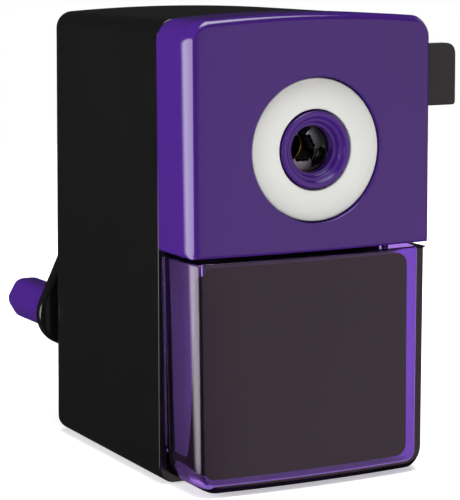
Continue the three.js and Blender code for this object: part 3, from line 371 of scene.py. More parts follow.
def blockFrom(name, low, high, soft=0.0):
    outline = softened([(high[0], low[2], soft), (high[0], high[2], soft),
                        (low[0], high[2], soft), (low[0], low[2], soft)], 2)
    return plateFrom(name, outline, [(0, low[1]), (0, high[1])])


def bake(piece):
    # the piece's mesh becomes what its modifiers make of it
    bpy.context.view_layer.update()
    graph = bpy.context.evaluated_depsgraph_get()
    made = bpy.data.meshes.new_from_object(piece.evaluated_get(graph))
    piece.modifiers.clear()
    piece.data = made


def carve(piece, join=(), cut=()):
    # joins tools to the piece, then cuts the others out of it
    for operation, tools in (("UNION", join), ("DIFFERENCE", cut)):
        for tool in tools:
            step = piece.modifiers.new(operation, "BOOLEAN")
            step.operation = operation
            step.solver = "EXACT"
            step.object = tool
    bake(piece)
    for tool in (*join, *cut):
        bpy.data.objects.remove(tool)


def fromCad(node):
    # a copy of a node with its triangles merged into whole flat faces
    source = frame["nodes"][node].data
    place = np.empty(len(source.vertices) * 3)
    source.vertices.foreach_get("co", place)
    corner = np.empty(len(source.loops), np.int32)
    source.loops.foreach_get("vertex_index", corner)
    points, same = np.unique(np.round(place.reshape(-1, 3), 7), axis=0, return_inverse=True)
    mesh = bpy.data.meshes.new(node)
    mesh.from_pydata(points, [], same.reshape(-1)[corner].reshape(-1, 3).tolist())
    shape = bmesh.new()
    shape.from_mesh(mesh)
    bmesh.ops.dissolve_limit(shape, angle_limit=math.radians(0.5), verts=shape.verts,
                             edges=shape.edges)
    shape.to_mesh(mesh)
    shape.free()
    piece = bpy.data.objects.new(node, mesh)
    bpy.context.scene.collection.objects.link(piece)
    return piece


def place(piece, node, body, slotName, material, soft=0.0, angle=32):
    # finishes a piece: its material, small rounds on sharp edges, even shading, and its body
    piece.name = piece.data.name = node + ".look"
    piece.data.materials.clear()
    piece.data.materials.append(material)
    piece.data.shade_smooth()
    piece.data.set_sharp_from_angle(angle=math.radians(angle))
    if soft:
        edge = piece.modifiers.new("soft edges", "BEVEL")
        edge.width = soft * mm
        edge.segments = 2
        edge.limit_method = "ANGLE"
        edge.angle_limit = math.radians(angle)
        edge.use_clamp_overlap = True
    even = piece.modifiers.new("even faces", "WEIGHTED_NORMAL")
    even.keep_sharp = True
    even.weight = 60
    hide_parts(node)
    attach(piece, body)
    return piece


# Camera and light

view = {"yaw": 27, "pitch": 8.32, "roll": -0.35, "eye": (-252.4, -501.3, 136.0), "lens": 148.84}


def makeCamera():
    # looks from the front left, a little from above
    a, e, r = (math.radians(view[k]) for k in ("yaw", "pitch", "roll"))
    ahead = Vector((math.sin(a) * math.cos(e), math.cos(a) * math.cos(e), -math.sin(e)))
    right = Vector((math.cos(a), -math.sin(a), 0))
    up = right.cross(ahead)
    side = right * math.cos(r) + up * math.sin(r)
    top = up * math.cos(r) - right * math.sin(r)
    data = bpy.data.cameras.new("view")
    data.sensor_width = 36
    data.lens = view["lens"]
    data.clip_start, data.clip_end = 0.05, 60
    camera = bpy.data.objects.new("view", data)
    bpy.context.scene.collection.objects.link(camera)
    turn = Matrix((side, top, -ahead)).transposed().to_4x4()
    camera.matrix_world = Matrix.Translation(Vector(view["eye"]) * mm) @ turn
    bpy.context.scene.camera = camera


# Soft windows of the studio: azimuth to the left of the object's front, elevation, half angle to
# the window's full and to its faded edge, brightness, and how many times wider it is than tall.
windows = {
    "left": {"azimuth": 108, "elevation": 0, "full": 25, "faded": 36, "bright": 5.4,
             "colour": (1, 0.92, 1), "wide": 2},
    "front": {"azimuth": -36, "elevation": -4, "full": 16, "faded": 34, "bright": 0.66,
              "colour": (1.1, 0.84, 0.9), "wide": 1},
    "top": {"azimuth": 10, "elevation": 78, "full": 14, "faded": 30, "bright": 3.0,
            "colour": (1, 1, 1), "wide": 1},
    "right": {"azimuth": -95, "elevation": 25, "full": 10, "faded": 26, "bright": 1.0,
              "colour": (1, 1, 1), "wide": 1},
}
room = {"dim": 0.02, "backdrop": 1.0}


def makeWorld():
    # The dark room is the same in every direction, and each window adds its brightness where a
    # direction, stretched upwards by the window's width over its height, is nearer to the window's
    # middle than its edge. What is behind the object is plain white.
    world = bpy.data.worlds.new("studio")
    world.use_nodes = True
    tree = world.node_tree
    tree.nodes.clear()
    towards = addNode(tree, "ShaderNodeTexCoord").outputs["Generated"]
    total = None
    for w in windows.values():
        a, e = math.radians(w["azimuth"]), math.radians(w["elevation"])
        middle = Vector((-math.sin(a) * math.cos(e), -math.cos(a) * math.cos(e),
                         math.sin(e) * w["wide"])).normalized()
        flat = addNode(tree, "ShaderNodeVectorMath", {"operation": "MULTIPLY",
                                                      1: (1, 1, w["wide"])}, {0: towards})
        unit = addNode(tree, "ShaderNodeVectorMath", {"operation": "NORMALIZE"},
                       {0: flat.outputs["Vector"]})
        near = addNode(tree, "ShaderNodeVectorMath", {"operation": "DOT_PRODUCT", 1: middle},
                       {0: unit.outputs["Vector"]})
        glow = addNode(tree, "ShaderNodeMapRange", {
            "interpolation_type": "SMOOTHSTEP", "From Min": math.cos(math.radians(w["faded"])),
            "From Max": math.cos(math.radians(w["full"])), "To Min": 0, "To Max": w["bright"]},
            {"Value": near.outputs["Value"]})
        tinted = addNode(tree, "ShaderNodeVectorMath", {"operation": "SCALE", 0: w["colour"]},
                         {"Scale": glow.outputs[0]})
        total = addNode(tree, "ShaderNodeVectorMath", {"operation": "ADD", 1: [room["dim"]] * 3},
                        {0: tinted.outputs[0]} if total is None else
                        {0: tinted.outputs[0], 1: total.outputs[0]})
    studio = addNode(tree, "ShaderNodeBackground", {"Strength": 1}, {"Color": total.outputs[0]})
    backdrop = addNode(tree, "ShaderNodeBackground", {"Color": (1, 1, 1, 1),
                                                      "Strength": room["backdrop"]})
    ray = addNode(tree, "ShaderNodeLightPath")
    # a ray that came straight through clear plastic sees the backdrop; one that was thrown back
    # or scattered on its way sees the studio
    bounced = addNode(tree, "ShaderNodeMath", {"operation": "ADD"}, {
        0: ray.outputs["Glossy Depth"], 1: ray.outputs["Diffuse Depth"]})
    straight = addNode(tree, "ShaderNodeMath", {"operation": "LESS_THAN", 1: 0.5},
                       {0: bounced.outputs[0]})
    through = addNode(tree, "ShaderNodeMath", {"operation": "MULTIPLY"}, {
        0: ray.outputs["Is Transmission Ray"], 1: straight.outputs[0]})
    seen = addNode(tree, "ShaderNodeMath", {"operation": "MAXIMUM"}, {
        0: ray.outputs["Is Camera Ray"], 1: through.outputs[0]})
    both = addNode(tree, "ShaderNodeMixShader", None, {
        0: seen.outputs[0], 1: studio.outputs[0], 2: backdrop.outputs[0]})
    addNode(tree, "ShaderNodeOutputWorld", None, {"Surface": both.outputs[0]})
    bpy.context.scene.world = world


floorLook = {"radius": 900, "rings": 40, "colour": "#F4F4F2", "shade": "#EFEFED", "glow": 0.45}


def makeFloor():
    # A wide disc: rings of points whose radius grows with the square of their number.
    radius = floorLook["radius"] * np.linspace(0.0, 1, floorLook["rings"])[:, None] ** 2
    angle = np.linspace(0, 2 * math.pi, 72, endpoint=False)
    top = solidFrom("floor", radius * np.cos(angle), radius * np.sin(angle),
                    -0.02 - 0.5 * (radius / floorLook["radius"]) ** 4)
    material, tree = newMaterial("painted board, matt")
    place = addNode(tree, "ShaderNodeTexCoord").outputs["Object"]
    tooth = addNode(tree, "ShaderNodeTexNoise", {"Scale": 900, "Detail": 3}, {"Vector": place})
    tone = addNode(tree, "ShaderNodeMix", {"data_type": "RGBA", 6: linear(floorLook["colour"]),
                                           7: linear(floorLook["shade"])},
                   {0: tooth.outputs["Fac"]})
    raised = addNode(tree, "ShaderNodeBump", {"Strength": 0.2, "Distance": 0.02 * mm},
                     {"Height": tooth.outputs["Fac"]})
    shader = addNode(tree, "ShaderNodeBsdfPrincipled", {
        "Roughness": 0.9, "Emission Color": (1, 1, 1, 1), "Emission Strength": floorLook["glow"]},
        {"Base Color": tone.outputs[2], "Normal": raised.outputs["Normal"]})
    addNode(tree, "ShaderNodeOutputMaterial", None, {"Surface": shader.outputs["BSDF"]})
    top.data.materials.append(material)
    top.visible_glossy = False


def aim(lamp, at, target):
    # puts a lamp at a place and turns its beam to the target
    towards = (Vector(target) - Vector(at)).to_track_quat("-Z", "Y").to_matrix().to_4x4()
    lamp.matrix_world = Matrix.Translation(Vector(at)) @ towards


def makeLight(name, at, width, height, power, mirrored=True):
    # a softbox that faces the object
    data = bpy.data.lights.new(name, "AREA")
    data.shape = "RECTANGLE"
    data.size, data.size_y = width, height
    data.energy = power
    lamp = bpy.data.objects.new(name, data)
    bpy.context.scene.collection.objects.link(lamp)
    aim(lamp, at, (0, 0, 0.06))
    lamp.visible_camera = False
    lamp.visible_glossy = mirrored   # False: it lights the plastic but isn't seen in its gloss


def makeSnoot(name, at, target, spread, power):
    # a narrow light that reaches only the pencil's mouth
    data = bpy.data.lights.new(name, "SPOT")
    data.spot_size, data.spot_blend = math.radians(spread), 0.4
    data.shadow_soft_size = 0.012
    data.energy = power
    lamp = bpy.data.objects.new(name, data)
    bpy.context.scene.collection.objects.link(lamp)
    aim(lamp, at, target)


bpy.context.scene.view_settings.view_transform = "Standard"
makeCamera()
makeWorld()
makeFloor()
makeLight("top softbox", (0.1, -0.15, 1.3), 1.0, 0.8, 12)
makeLight("left fill", (-1.3, -0.1, 0.5), 0.8, 0.8, 14, mirrored=False)
makeSnoot("mouth light", (-0.2, -0.52, 0.17), (0, ringLow[1] * mm, axisZ * mm), 1.5, 12)
print("camera, room and floor made")


# Body

body = {"wall": 2.4, "sole": 0.15, "sideDraft": 0.7, "rearDraft": 2.4, "rearRise": 0.35,
        "edgeRound": 4.2, "rearRound": 3, "crown": 1.3, "rimRound": 0.35, "floor": 4,
        "bossProud": 2, "bossRadius": 9, "bushHole": 5.55, "shelf": 2.4,
        "screwBoss": 3, "screwBore": 1.4, "screwStart": 4.3, "screwLength": 9.7, "web": 1.5,
        "gap": 0.3}


def makeBody():
    # Rounded rectangles in XZ carried along Y. A quarter circle draws them in at the rear by the
    # rear round, and a small one at the front rim.
    # Draft: a point moves out in proportion to how far it lies below the top, as it left the mould.
    half, low, top = bodyHigh[0], body["sole"], bodyHigh[2] - body["crown"]
    front, back = bodyLow[1], bodyHigh[1] - body["bossProud"]
    rim, rear = body["rimRound"], body["rearRound"]
    t = np.linspace(0, turn90, 11)
    inset = np.concatenate([rim * (1 - np.sin(t[::3])), rear * (1 - np.cos(t))])
    y = np.concatenate([front + rim * (1 - np.cos(t[::3])), back - rear + rear * np.sin(t)])
    x, z = roundedOutline(half - inset, low + inset, top - inset, body["edgeRound"] - inset,
                          body["edgeRound"] - inset)
    fall, run = np.clip((top - z) / (top - low), 0, 1), (y[:, None] - front) / (back - front)
    shell = solidFrom("body", x * (1 + body["sideDraft"] / half * fall),
                      y[:, None] + body["rearDraft"] * fall * run,
                      arched(x, z, half, low, top, body["crown"]) + body["rearRise"] * run)

    inner, backInner = half - body["wall"], back - body["wall"]
    shelfTop, bayTop = coverLow[2] + body["wall"], coverLow[2] + body["wall"] - body["shelf"]
    floorTop, corner = bodyLow[2] + body["floor"], body["edgeRound"] - body["wall"] + 0.8

    def hollow(name, bottom, high, topRound, lowRound, crown):
        # the bays have the same kind of outline, straight along Y
        a, b = roundedOutline([inner] * 2, bottom, high, topRound, lowRound)
        places = np.array([[front - 1], [backInner]])
        return solidFrom(name, a, places, arched(a, b, inner, bottom, high, crown))

    works = hollow("works", shelfTop, top - body["wall"], corner, 0.5, body["crown"])
    bay = hollow("bay", floorTop, bayTop, 0.5, corner, 0)
    chute = blockFrom("chute", (-17, front + 7, bayTop - 1), (17, backInner - 12, shelfTop + 1), 2)
    bossY = bodyHigh[1]
    rearBoss = turnedFrom("rear boss", softened([
        (0, backInner - 0.5, 0), (body["bossRadius"], backInner - 0.5, 0),
        (body["bossRadius"], bossY, 0.7), (0, bossY, 0)], closed=False))
    innerBoss = rodFrom("inner boss", body["bushHole"] + 2, backInner - 7, backInner + 0.5)
    bore = rodFrom("bore", body["bushHole"], backInner - 8, bossY + 1)
    tools, holes = [rearBoss, innerBoss], [works, bay, chute, bore]
    start, length, web = front + body["screwStart"], body["screwLength"], body["web"]
    for side, name in ((-1, "frame_screw_left"), (1, "frame_screw_right")):
        at = middleOf(name)
        wallX = side * (inner + 0.5)
        tools.append(blockFrom("screw web", (min(at[0], wallX), start, at[1] - web),
                               (max(at[0], wallX), start + length, at[1] + web)))
        tools.append(rodFrom("screw boss", body["screwBoss"], start, start + length, at, 32))
        holes.append(rodFrom("screw hole", body["screwBore"], start - 1, start + 8, at, 24))
    (left, ahead, _), (right, behind, plateTop) = boxOf("base_plate")
    gap = body["gap"]
    outline = softened([(right + gap, ahead - gap, 3), (right + gap, behind + gap, 3),
                        (left - gap, behind + gap, 3), (left - gap, ahead - gap, 3)])
    holes.append(plateFrom("pocket", outline, [(0, bodyLow[2] - 2), (0, plateTop + gap)],
                           upright=True))
    for i in (1, 2, 3, 4):
        at = middleOf(f"base_screw_{i}", upright=True)
        holes.append(rodFrom("screw hole", body["screwBore"], bodyLow[2], floorTop - 0.8, at, 20,
                             upright=True))
    carve(shell, [rearBoss], [bay, works, chute])
    carve(shell, tools[1:], holes[3:])
    place(shell, "body_shell", "housing", "black_abs", blackAbs, soft=0.2)


makeBody()
print("body made")


# Front cover

cover = {"wall": 2.2, "proud": 0.6, "crown": 1.7, "corner": 5.5, "lowCorner": 1.2, "bow": 2,
         "sideRound": 1.8, "sideDepth": 7, "topRound": 2, "topDepth": 2.4, "lowRound": 0.8,
         "rimRound": 0.3, "postCircle": 23.3, "post": 3.4, "postBore": 1.5, "rodBoss": 4,
         "rodBore": 2.3, "recess": 18.3, "recessEdge": 0.28, "lip": 9.7, "bore": 6}


def bowed(x, half, face, bow):
    # the front is a parabola in plan: its middle stands forward of its sides by the bow
    return face + bow * (x / half) ** 2


def makeCover():
    # One shut loop of rings: out of the pencil's bore over the lip, across the recess floor, up its
    # wall, out over the bowed face, round the edges, back along the sides, and home inside.
    half, low, top = coverHigh[0], coverLow[2], coverHigh[2] - cover["crown"]
    face, rim = coverLow[1], coverHigh[1]
    ringFace, floorY = ringLow[1], ringHigh[1] + 0.3
    lipY = ringFace - 0.5
    innerY = face + cover["bow"] + cover["wall"]
    padY = max(floorY, innerY) + 1.5
    t = np.linspace(0, turn90, 9)[:, None]

    def ring(inset, topInset, lowInset, topRound, lowRound):
        x, z = roundedOutline(half - inset, low + lowInset, top - topInset, topRound, lowRound,
                              22, 12)
        return x, arched(x, z, half, low, top, cover["crown"])

    rounds = roundsAlong(cover["sideDepth"], cover["topDepth"], cover["lowRound"], 22, 12)
    shrink = (1 - np.cos(t))[:, 0]
    edgeX, edgeZ = ring(cover["sideRound"] * shrink, cover["topRound"] * shrink,
                        cover["lowRound"] * shrink, cover["corner"] - 2.4 * shrink,
                        cover["lowCorner"] - 0.5 * shrink)
    edgeY = bowed(edgeX, half, face, cover["bow"]) + rounds * (1 - np.sin(t))
    # directions from the pencil's axis to the face's outer ring set the angles of every circle
    angle = np.unwrap(np.arctan2(edgeZ[-1] - axisZ, edgeX[-1]))
    circleX, circleZ = np.cos(angle), np.sin(angle)

    def circles(profile):
        radius, y = np.array(profile, float).T[:, :, None]
        return radius * circleX, y + 0 * circleX, axisZ + radius * circleZ

    bore, lip, recess, edge = cover["bore"], cover["lip"], cover["recess"], cover["recessEdge"]
    mouth = softened([(bore, padY, 0), (bore, lipY + 2.3, 0.15), (bore + 0.8, lipY + 2.25, 0.3),
                      (bore + 1.0, lipY + 0.95, 0.3), (bore + 1.95, lipY + 0.85, 0.3),
                      (bore + 2.2, lipY, 0.45), (lip, lipY, 0.5),
                      (lip, floorY, 0.2), (recess, floorY, 0.2), (recess, floorY - 0.6, 0)],
                     5, closed=False)
    mouthX, mouthY, mouthZ = circles(mouth)
    # recess edge: a quarter circle from the wall to the face, which is bowed under it
    u = np.linspace(0, turn90, 6)[:, None]
    reach = recess + edge * (1 - np.cos(u))
    lipX, lipZ = reach * circleX, axisZ + reach * circleZ
    lipEdgeY = bowed(lipX, half, face, cover["bow"]) + edge * (1 - np.sin(u))
    # face: straight lines from the recess edge to the start of the outer rounds
    share = np.linspace(0, 1, 14)[1:-1][:, None]
    faceX = lipX[-1] + (edgeX[-1] - lipX[-1]) * share
    faceZ = lipZ[-1] + (edgeZ[-1] - lipZ[-1]) * share
    faceRowsY = bowed(faceX, half, face, cover["bow"])
    # sides, rim and inside
    r, w = cover["rimRound"], cover["wall"]
    s = np.linspace(0, turn90, 4)
    rimInset = np.concatenate([r * (1 - np.cos(s)), w - r + r * np.sin(s)])
    rimY = np.concatenate([rim - r + r * np.sin(s), rim - r + r * np.cos(s)])
    sideInset = np.concatenate([[0, 0], rimInset, [w, w, w + 1.2, w + 2]])
    sideY = np.concatenate([[face + cover["bow"] + 9.5, rim - 4], rimY,
                            [rim - 3, innerY + 2, innerY + 0.35, innerY]])
    cornerTop = np.maximum(cover["corner"] - sideInset, 1.2)
    cornerLow = np.maximum(cover["lowCorner"] - sideInset, 0.35)
    sideX, sideZ = ring(sideInset, sideInset, sideInset, cornerTop, cornerLow)
    insideX, insideY, insideZ = circles([(recess + 2, innerY), (recess + 2, padY - 0.2),
                                         (recess + 1.8, padY), (bore + 0.3, padY)])
    x = np.concatenate([mouthX, lipX, faceX, edgeX[::-1], sideX, insideX])
    y = np.concatenate([mouthY, lipEdgeY, faceRowsY, edgeY[::-1],
                        sideY[:, None] + 0 * sideX, insideY])
    z = np.concatenate([mouthZ, lipZ, faceZ, edgeZ[::-1], sideZ, insideZ])
    shell = solidFrom("cover", x, y, z, loop=True)

    joins, cuts = [], []
    for degrees in (90, 210, 330):   # posts for the chuck's screws
        a = math.radians(degrees)
        at = (cover["postCircle"] * math.cos(a), axisZ + cover["postCircle"] * math.sin(a))
        joins.append(rodFrom("post", cover["post"], innerY - 0.5, padY, at, 40))
        cuts.append(rodFrom("post hole", cover["postBore"], padY - 2.2, padY + 1, at, 24))
    for node in ("guide_rod_left", "guide_rod_right"):
        at, rodFront = middleOf(node), boxOf(node)[0][1]
        joins.append(rodFrom("rod boss", cover["rodBoss"], innerY - 0.5, innerY + 7, at, 40))
        cuts.append(rodFrom("rod hole", cover["rodBore"], rodFront - 0.3, innerY + 9, at, 32))
    springLow, springHigh = boxOf("lever_spring")
    joins.append(blockFrom("spring shelf", (springLow[0] - 1.3, innerY - 0.5, springLow[2] - 1.9),
                           (half - w + 0.5, springHigh[1] + 1.3, springLow[2] - 0.3)))
    leverLow, leverHigh = boxOf("release_lever")
    swing = math.radians(15)
    reach = (half - w) / math.cos(swing) - (leverLow[2] - axisZ) * math.tan(swing)
    slotLow = leverLow[2] - (leverLow[2] - axisZ) * (1 - math.cos(swing)) - reach * math.sin(swing)
    cuts.append(blockFrom("lever slot", (half - w - 1, leverLow[1] - 0.5, slotLow - 2.2),
                          (half + 1, leverHigh[1] + 0.5, leverHigh[2] + 0.8), 0.4))
    carve(shell, joins, cuts)
    place(shell, "front_cover", "front_carriage", "violet_abs", violetAbs, soft=0.15)


makeCover()
print("cover made")


# Ring round the mouth

ringLook = {"round": 0.4, "hole": 10.2}


def makeRing():
    # a flat ring's section turned round the pencil's axis, its front edges rounded
    front, back, outer = ringLow[1], ringHigh[1], ringHigh[0]
    r = ringLook["round"]
    section = softened([(ringLook["hole"], back, 0.1), (outer, back, 0.1), (outer, front, r),
                        (ringLook["hole"], front, r)], 5)
    ring = turnedFrom("ring", section, count=180, loop=True)
    place(ring, "bezel_ring", "front_carriage", "ivory_abs", ivoryAbs)


makeRing()


# Drawer

drawer = {"wall": 2.2, "boxWall": 1.8, "taper": 0.5, "corner": 5.5, "sideRound": 2,
          "sideDepth": 7, "lowRound": 1.8, "floorWall": 1.5, "topRound": 0.45, "bow": 2,
          "frontTop": 59.3, "boxHalf": 31.2, "boxLow": 5.6, "boxCorner": 2.6}
lining = {"half": 29.3, "offset": -1.8, "low": 4.6, "high": 58, "round": 3, "bond": 0.35,
          "wall": 1.2, "back": -37}
inward = np.array([0.8, 0.6, 0.4, 0.2, 0.03])[:, None]   # rings that close a bowed face


def makeDrawer():
    # Front: outlines that narrow a little downwards, drawn in by a quarter circle at the bowed
    # face. Its hollow is the same shape, one wall smaller and open at the top.
    half, low, face = drawerHigh[0], drawerLow[2], drawerLow[1]
    top, rim = drawer["frontTop"], coverHigh[1]
    t = np.linspace(0, turn90, 11)

    def front(name, w, high, back):
        shrink = np.concatenate([[0], 1 - np.cos(t)])
        sideRound, lowRound = drawer["sideRound"] - w * 0.5, drawer["lowRound"] - w * 0.4
        topRound = drawer["topRound"] if w == 0 else 0.2
        floor = drawer["floorWall"] if w else 0
        x, z = roundedOutline(half - w - sideRound * shrink, low + floor + lowRound * shrink,
                              high - topRound * shrink, 0.3 + 0.2 * shrink,
                              drawer["corner"] - w - 1.6 * shrink, 22, 10)
        middle = (low + high) / 2
        x = np.concatenate([x, x[-1:] * inward])
        z = np.concatenate([z, middle + (z[-1:] - middle) * inward])
        rounds = roundsAlong(drawer["sideDepth"] - w * 0.5, topRound, lowRound, 22, 10)
        narrow = 1 - drawer["taper"] / half * (top - z) / (top - low)
        fade = np.concatenate([[1], 1 - np.sin(t), np.zeros(len(inward))])[:, None]
        depth = bowed(x, half, face + w, drawer["bow"]) + rounds * fade
        depth[0] = back
        return solidFrom(name, x * narrow, depth, z)

    def tray(name, w, high, start, end, soft):
        inset = np.concatenate([[0], soft * (1 - np.cos(t[::3]))])
        y = np.concatenate([[start], end - soft + soft * np.sin(t[::3])])
        x, z = roundedOutline(drawer["boxHalf"] - w - inset, drawer["boxLow"] + w + inset,
                              np.full(len(y), high), 0.2, drawer["boxCorner"] - inset * 0.6)
        return solidFrom(name, x, y[:, None], z)

    end = drawerHigh[1]
    shell = front("drawer", 0, top, rim)
    box = tray("box", 0, drawerHigh[2], rim - drawer["wall"] + 0.2, end, 1.4)
    boxHollow = tray("box hollow", drawer["boxWall"], top + 6, rim - drawer["wall"] - 1,
                     end - drawer["boxWall"], 1.0)
    frontHollow = front("front hollow", drawer["wall"], top + 6, rim - drawer["wall"])
    carve(shell, [box], [boxHollow, frontHollow])
    place(shell, "drawer", "drawer", "clear_violet", clearViolet, soft=0.12)
    # Black lining behind the front wall, a shallow cup open at the back: rounded rectangles on the
    # wall's own bow, carried back to the tray, and home along the inside one wall smaller.
    p = lining
    inset = np.array([0, 0, p["wall"], p["wall"]])
    x, z = roundedOutline(p["half"] - inset, p["low"] + inset, p["high"] - inset,
                          p["round"] - inset, p["round"] - inset)
    middle = (p["low"] + p["high"]) / 2
    x = np.concatenate([x[:1] * inward[::-1], x, x[3:] * inward])
    z = np.concatenate([middle + (z[:1] - middle) * inward[::-1], z,
                        middle + (z[3:] - middle) * inward])
    y = bowed(x, half, face + drawer["wall"] - p["bond"], drawer["bow"])
    n = len(inward)
    y[n + 1:n + 3] = p["back"]
    y[n + 3:] += p["wall"]
    cup = solidFrom("lining", x + p["offset"], y, z)
    cup.name = cup.data.name = "drawer_lining.look"
    cup.data.materials.append(liningPlastic)
    cup.data.shade_smooth()
    cup.data.set_sharp_from_angle(angle=math.radians(32))
    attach(cup, "drawer")


makeDrawer()
print("ring and drawer made")


# Crank

crank = {"hub": 12, "end": 9.3, "length": 60.5, "round": 0.9, "hubDisc": 9, "hubProud": 1.2,
         "recess": 0.5, "margin": 2.4, "square": 4.6}
pinAt = middleOf("handle_pin")
shaftLow, shaftHigh = boxOf("crank_shaft")


def onArm(points):
    # turns points drawn with the arm hanging down by the arm's lean
    x, z = points[:, 0], points[:, 1]
    c, s = math.cos(armAngle), math.sin(armAngle)
    return np.stack([x * c + z * s, axisZ - x * s + z * c], 1)


def makeArm():
    # Two round ends with straight tangents between them: the lean of the tangent is the angle
    # whose sine is the difference of the ends over the length.
    front, back = armLow[1], armHigh[1] - crank["hubProud"]
    lean = math.asin((crank["hub"] - crank["end"]) / crank["length"])
    a = np.linspace(-lean, math.pi + lean, 60)
    b = np.linspace(math.pi + lean, 2 * math.pi - lean, 50)
    hub = np.stack([crank["hub"] * np.cos(a), crank["hub"] * np.sin(a)], 1)
    end = np.stack([crank["end"] * np.cos(b), crank["end"] * np.sin(b) - crank["length"]], 1)
    outline = onArm(np.concatenate([hub, end]))
    rows = edgeRows(front, back, crank["round"])
    m, d = crank["margin"], crank["recess"]
    sunk = softened([(crank["round"], back, 0), (m, back, 0.15), (m + 0.5, back - d, 0.2),
                     (m + 1.2, back - d, 0)], 3, closed=False)
    arm = plateFrom("arm", outline, np.concatenate([rows, sunk[1:]]))
    disc = turnedFrom("disc", softened([(0, back - 1, 0), (crank["hubDisc"], back - 1, 0),
                                        (crank["hubDisc"], armHigh[1], 0.5), (0, armHigh[1], 0)],
                                       5, closed=False))
    eye = turnedFrom("eye", softened([(0, back - 1, 0), (5.2, back - 1, 0), (5.2, back, 0.3),
                                      (0, back, 0)], 4, closed=False), pinAt)
    s = crank["square"] / 2 + 0.3
    square = plateFrom("square", onArm(softened([(s, -s, 0.3), (s, s, 0.3), (-s, s, 0.3),
                                                 (-s, -s, 0.3)], 3)),
                       [(0, front - 1), (0, armHigh[1] + 1)])
    hole = rodFrom("pin hole", 2.5, front - 1, back + 1, pinAt, 48)
    carve(arm, [disc, eye], [square, hole])
    place(arm, "crank_arm", "crank", "black_abs", blackAbs, soft=0.15)


def makeShaft():
    # a round shaft, squared where the arm sits on it, with a threaded end for the nut
    s = crank["square"] / 2
    start, squareY, nutY = shaftLow[1], armLow[1] - 0.3, armHigh[1] - crank["hubProud"] + 0.8
    end = shaftHigh[1]
    shaft = turnedFrom("shaft", softened([(0, start, 0), (3, start, 0.3), (3, squareY + 0.1, 0.1),
                                          (0, squareY + 0.1, 0)], 3, closed=False))
    square = plateFrom("square", onArm(softened([(s, -s, 0.35), (s, s, 0.35), (-s, s, 0.35),
                                                 (-s, -s, 0.35)], 3)),
                       [(0, squareY), (0, nutY)])
    # thread: the radius waves once for each half millimetre along the end
    y = np.linspace(nutY - 0.2, end - 0.3, 52)
    wave = s - 0.2 + 0.1 * np.cos((y - nutY) / 0.5 * 2 * math.pi)
    rows = np.concatenate([[(0, y[0])], np.stack([wave, y], 1), [(s - 0.5, end), (0, end)]])
    thread = turnedFrom("thread", rows, count=48)
    carve(shaft, [square, thread])
    place(shaft, "crank_shaft", "crank", "bright_steel", brightSteel)


nut = {"boreDepth": 2.9, "bore": 2.5, "faceRadius": 3.75, "corner": 4.1, "flat": 3.55,
       "chamfer": 0.3, "height": 2.6, "dome": 3.2}


def makeNut():
    # Cap nut, one skin from the bore round to the dome. Its radius is the smaller of the row's own
    # and the hexagon's: half the width over the cosine of the angle from the nearest flat's middle.
    low, high = boxOf("crank_nut")
    sixth, start = math.pi / 3, low[1]
    n = nut
    rows = np.array([(0, n["boreDepth"]), (n["bore"], n["boreDepth"]), (n["bore"], 0),
                     (n["faceRadius"], 0), (n["corner"], n["chamfer"]), (n["corner"], 2.2),
                     (3.65, n["height"]), (n["dome"], n["height"])])
    t = np.linspace(0, turn90, 9)[1:]
    dome = np.stack([n["dome"] * np.cos(t),
                     n["height"] + (high[1] - start - n["height"]) * np.sin(t)], 1)
    rows = np.concatenate([rows, dome])
    angle = np.linspace(0, 2 * math.pi, 96, endpoint=False)
    hexagon = n["flat"] / np.cos((angle + sixth / 2) % sixth - sixth / 2)
    radius = np.minimum(rows[:, :1], hexagon)
    skin = solidFrom("nut", radius * np.cos(angle), start + rows[:, 1:],
                     axisZ + radius * np.sin(angle))
    place(skin, "crank_nut", "crank", "bright_steel", brightSteel)


def makePin():
    # riveted pin: a low domed head in front of the arm and a plain shank
    head, shank = (corner[1] for corner in boxOf("handle_pin"))
    pin = turnedFrom("pin", softened([(0, head, 0), (3.4, head, 0.9), (4.2, head + 1.0, 0.2),
                                      (2.2, head + 1.0, 0.1), (2.2, shank, 0.4), (0, shank, 0)],
                                     5, closed=False), pinAt, 64)
    place(pin, "handle_pin", "crank", "bright_steel", brightSteel)


grip = {"corner": 2.1, "endRound": 1.9, "bore": 2.45, "boreEnd": 4}


def makeGrip():
    # Six flats with soft corners, carried along Y. Both ends are drawn in by a quarter circle, and
    # the rings turn in at the near end and run down the bore.
    low, high = boxOf("handle_grip")
    flat = (high[2] - low[2]) / 2
    corner = np.arange(6) * math.pi / 3
    reach = flat / math.cos(math.pi / 6)
    outline = softened([(pinAt[0] + reach * math.cos(a), pinAt[1] + reach * math.sin(a),
                         grip["corner"]) for a in corner], 8)
    r = grip["endRound"]
    t = np.linspace(0, turn90, 9)
    inset = np.concatenate([r * (1 - np.sin(t)), r * (1 - np.cos(t))])
    y = np.concatenate([low[1] + r * (1 - np.cos(t)), high[1] - r * (1 - np.sin(t))])
    body = plateFrom("grip", outline, np.stack([inset, y], 1))
    bore = rodFrom("bore", grip["bore"], low[1] - 1, high[1] - grip["boreEnd"], pinAt, 48)
    carve(body, (), [bore])
    place(body, "handle_grip", "grip", "violet_abs", violetAbs, soft=0.15)


makeArm()
makeShaft()
makeNut()
makePin()
makeGrip()
print("crank made")


# Release lever, cam and jaws

# Steel, ground bright after hardening: the jaws' teeth catch what light reaches the mouth.
jawSteel = machinedMetal("steel, hardened and ground", {
    "colour": "#B9BEC4", "shade": "#8E9399", "roughness": 0.42, "spread": 0.08,
    "streak": (0.7, 0.7, 0.7), "grain": 0.4})
lever = {"round": 0.35, "bigCorner": 3.2, "smallCorner": 1.0}


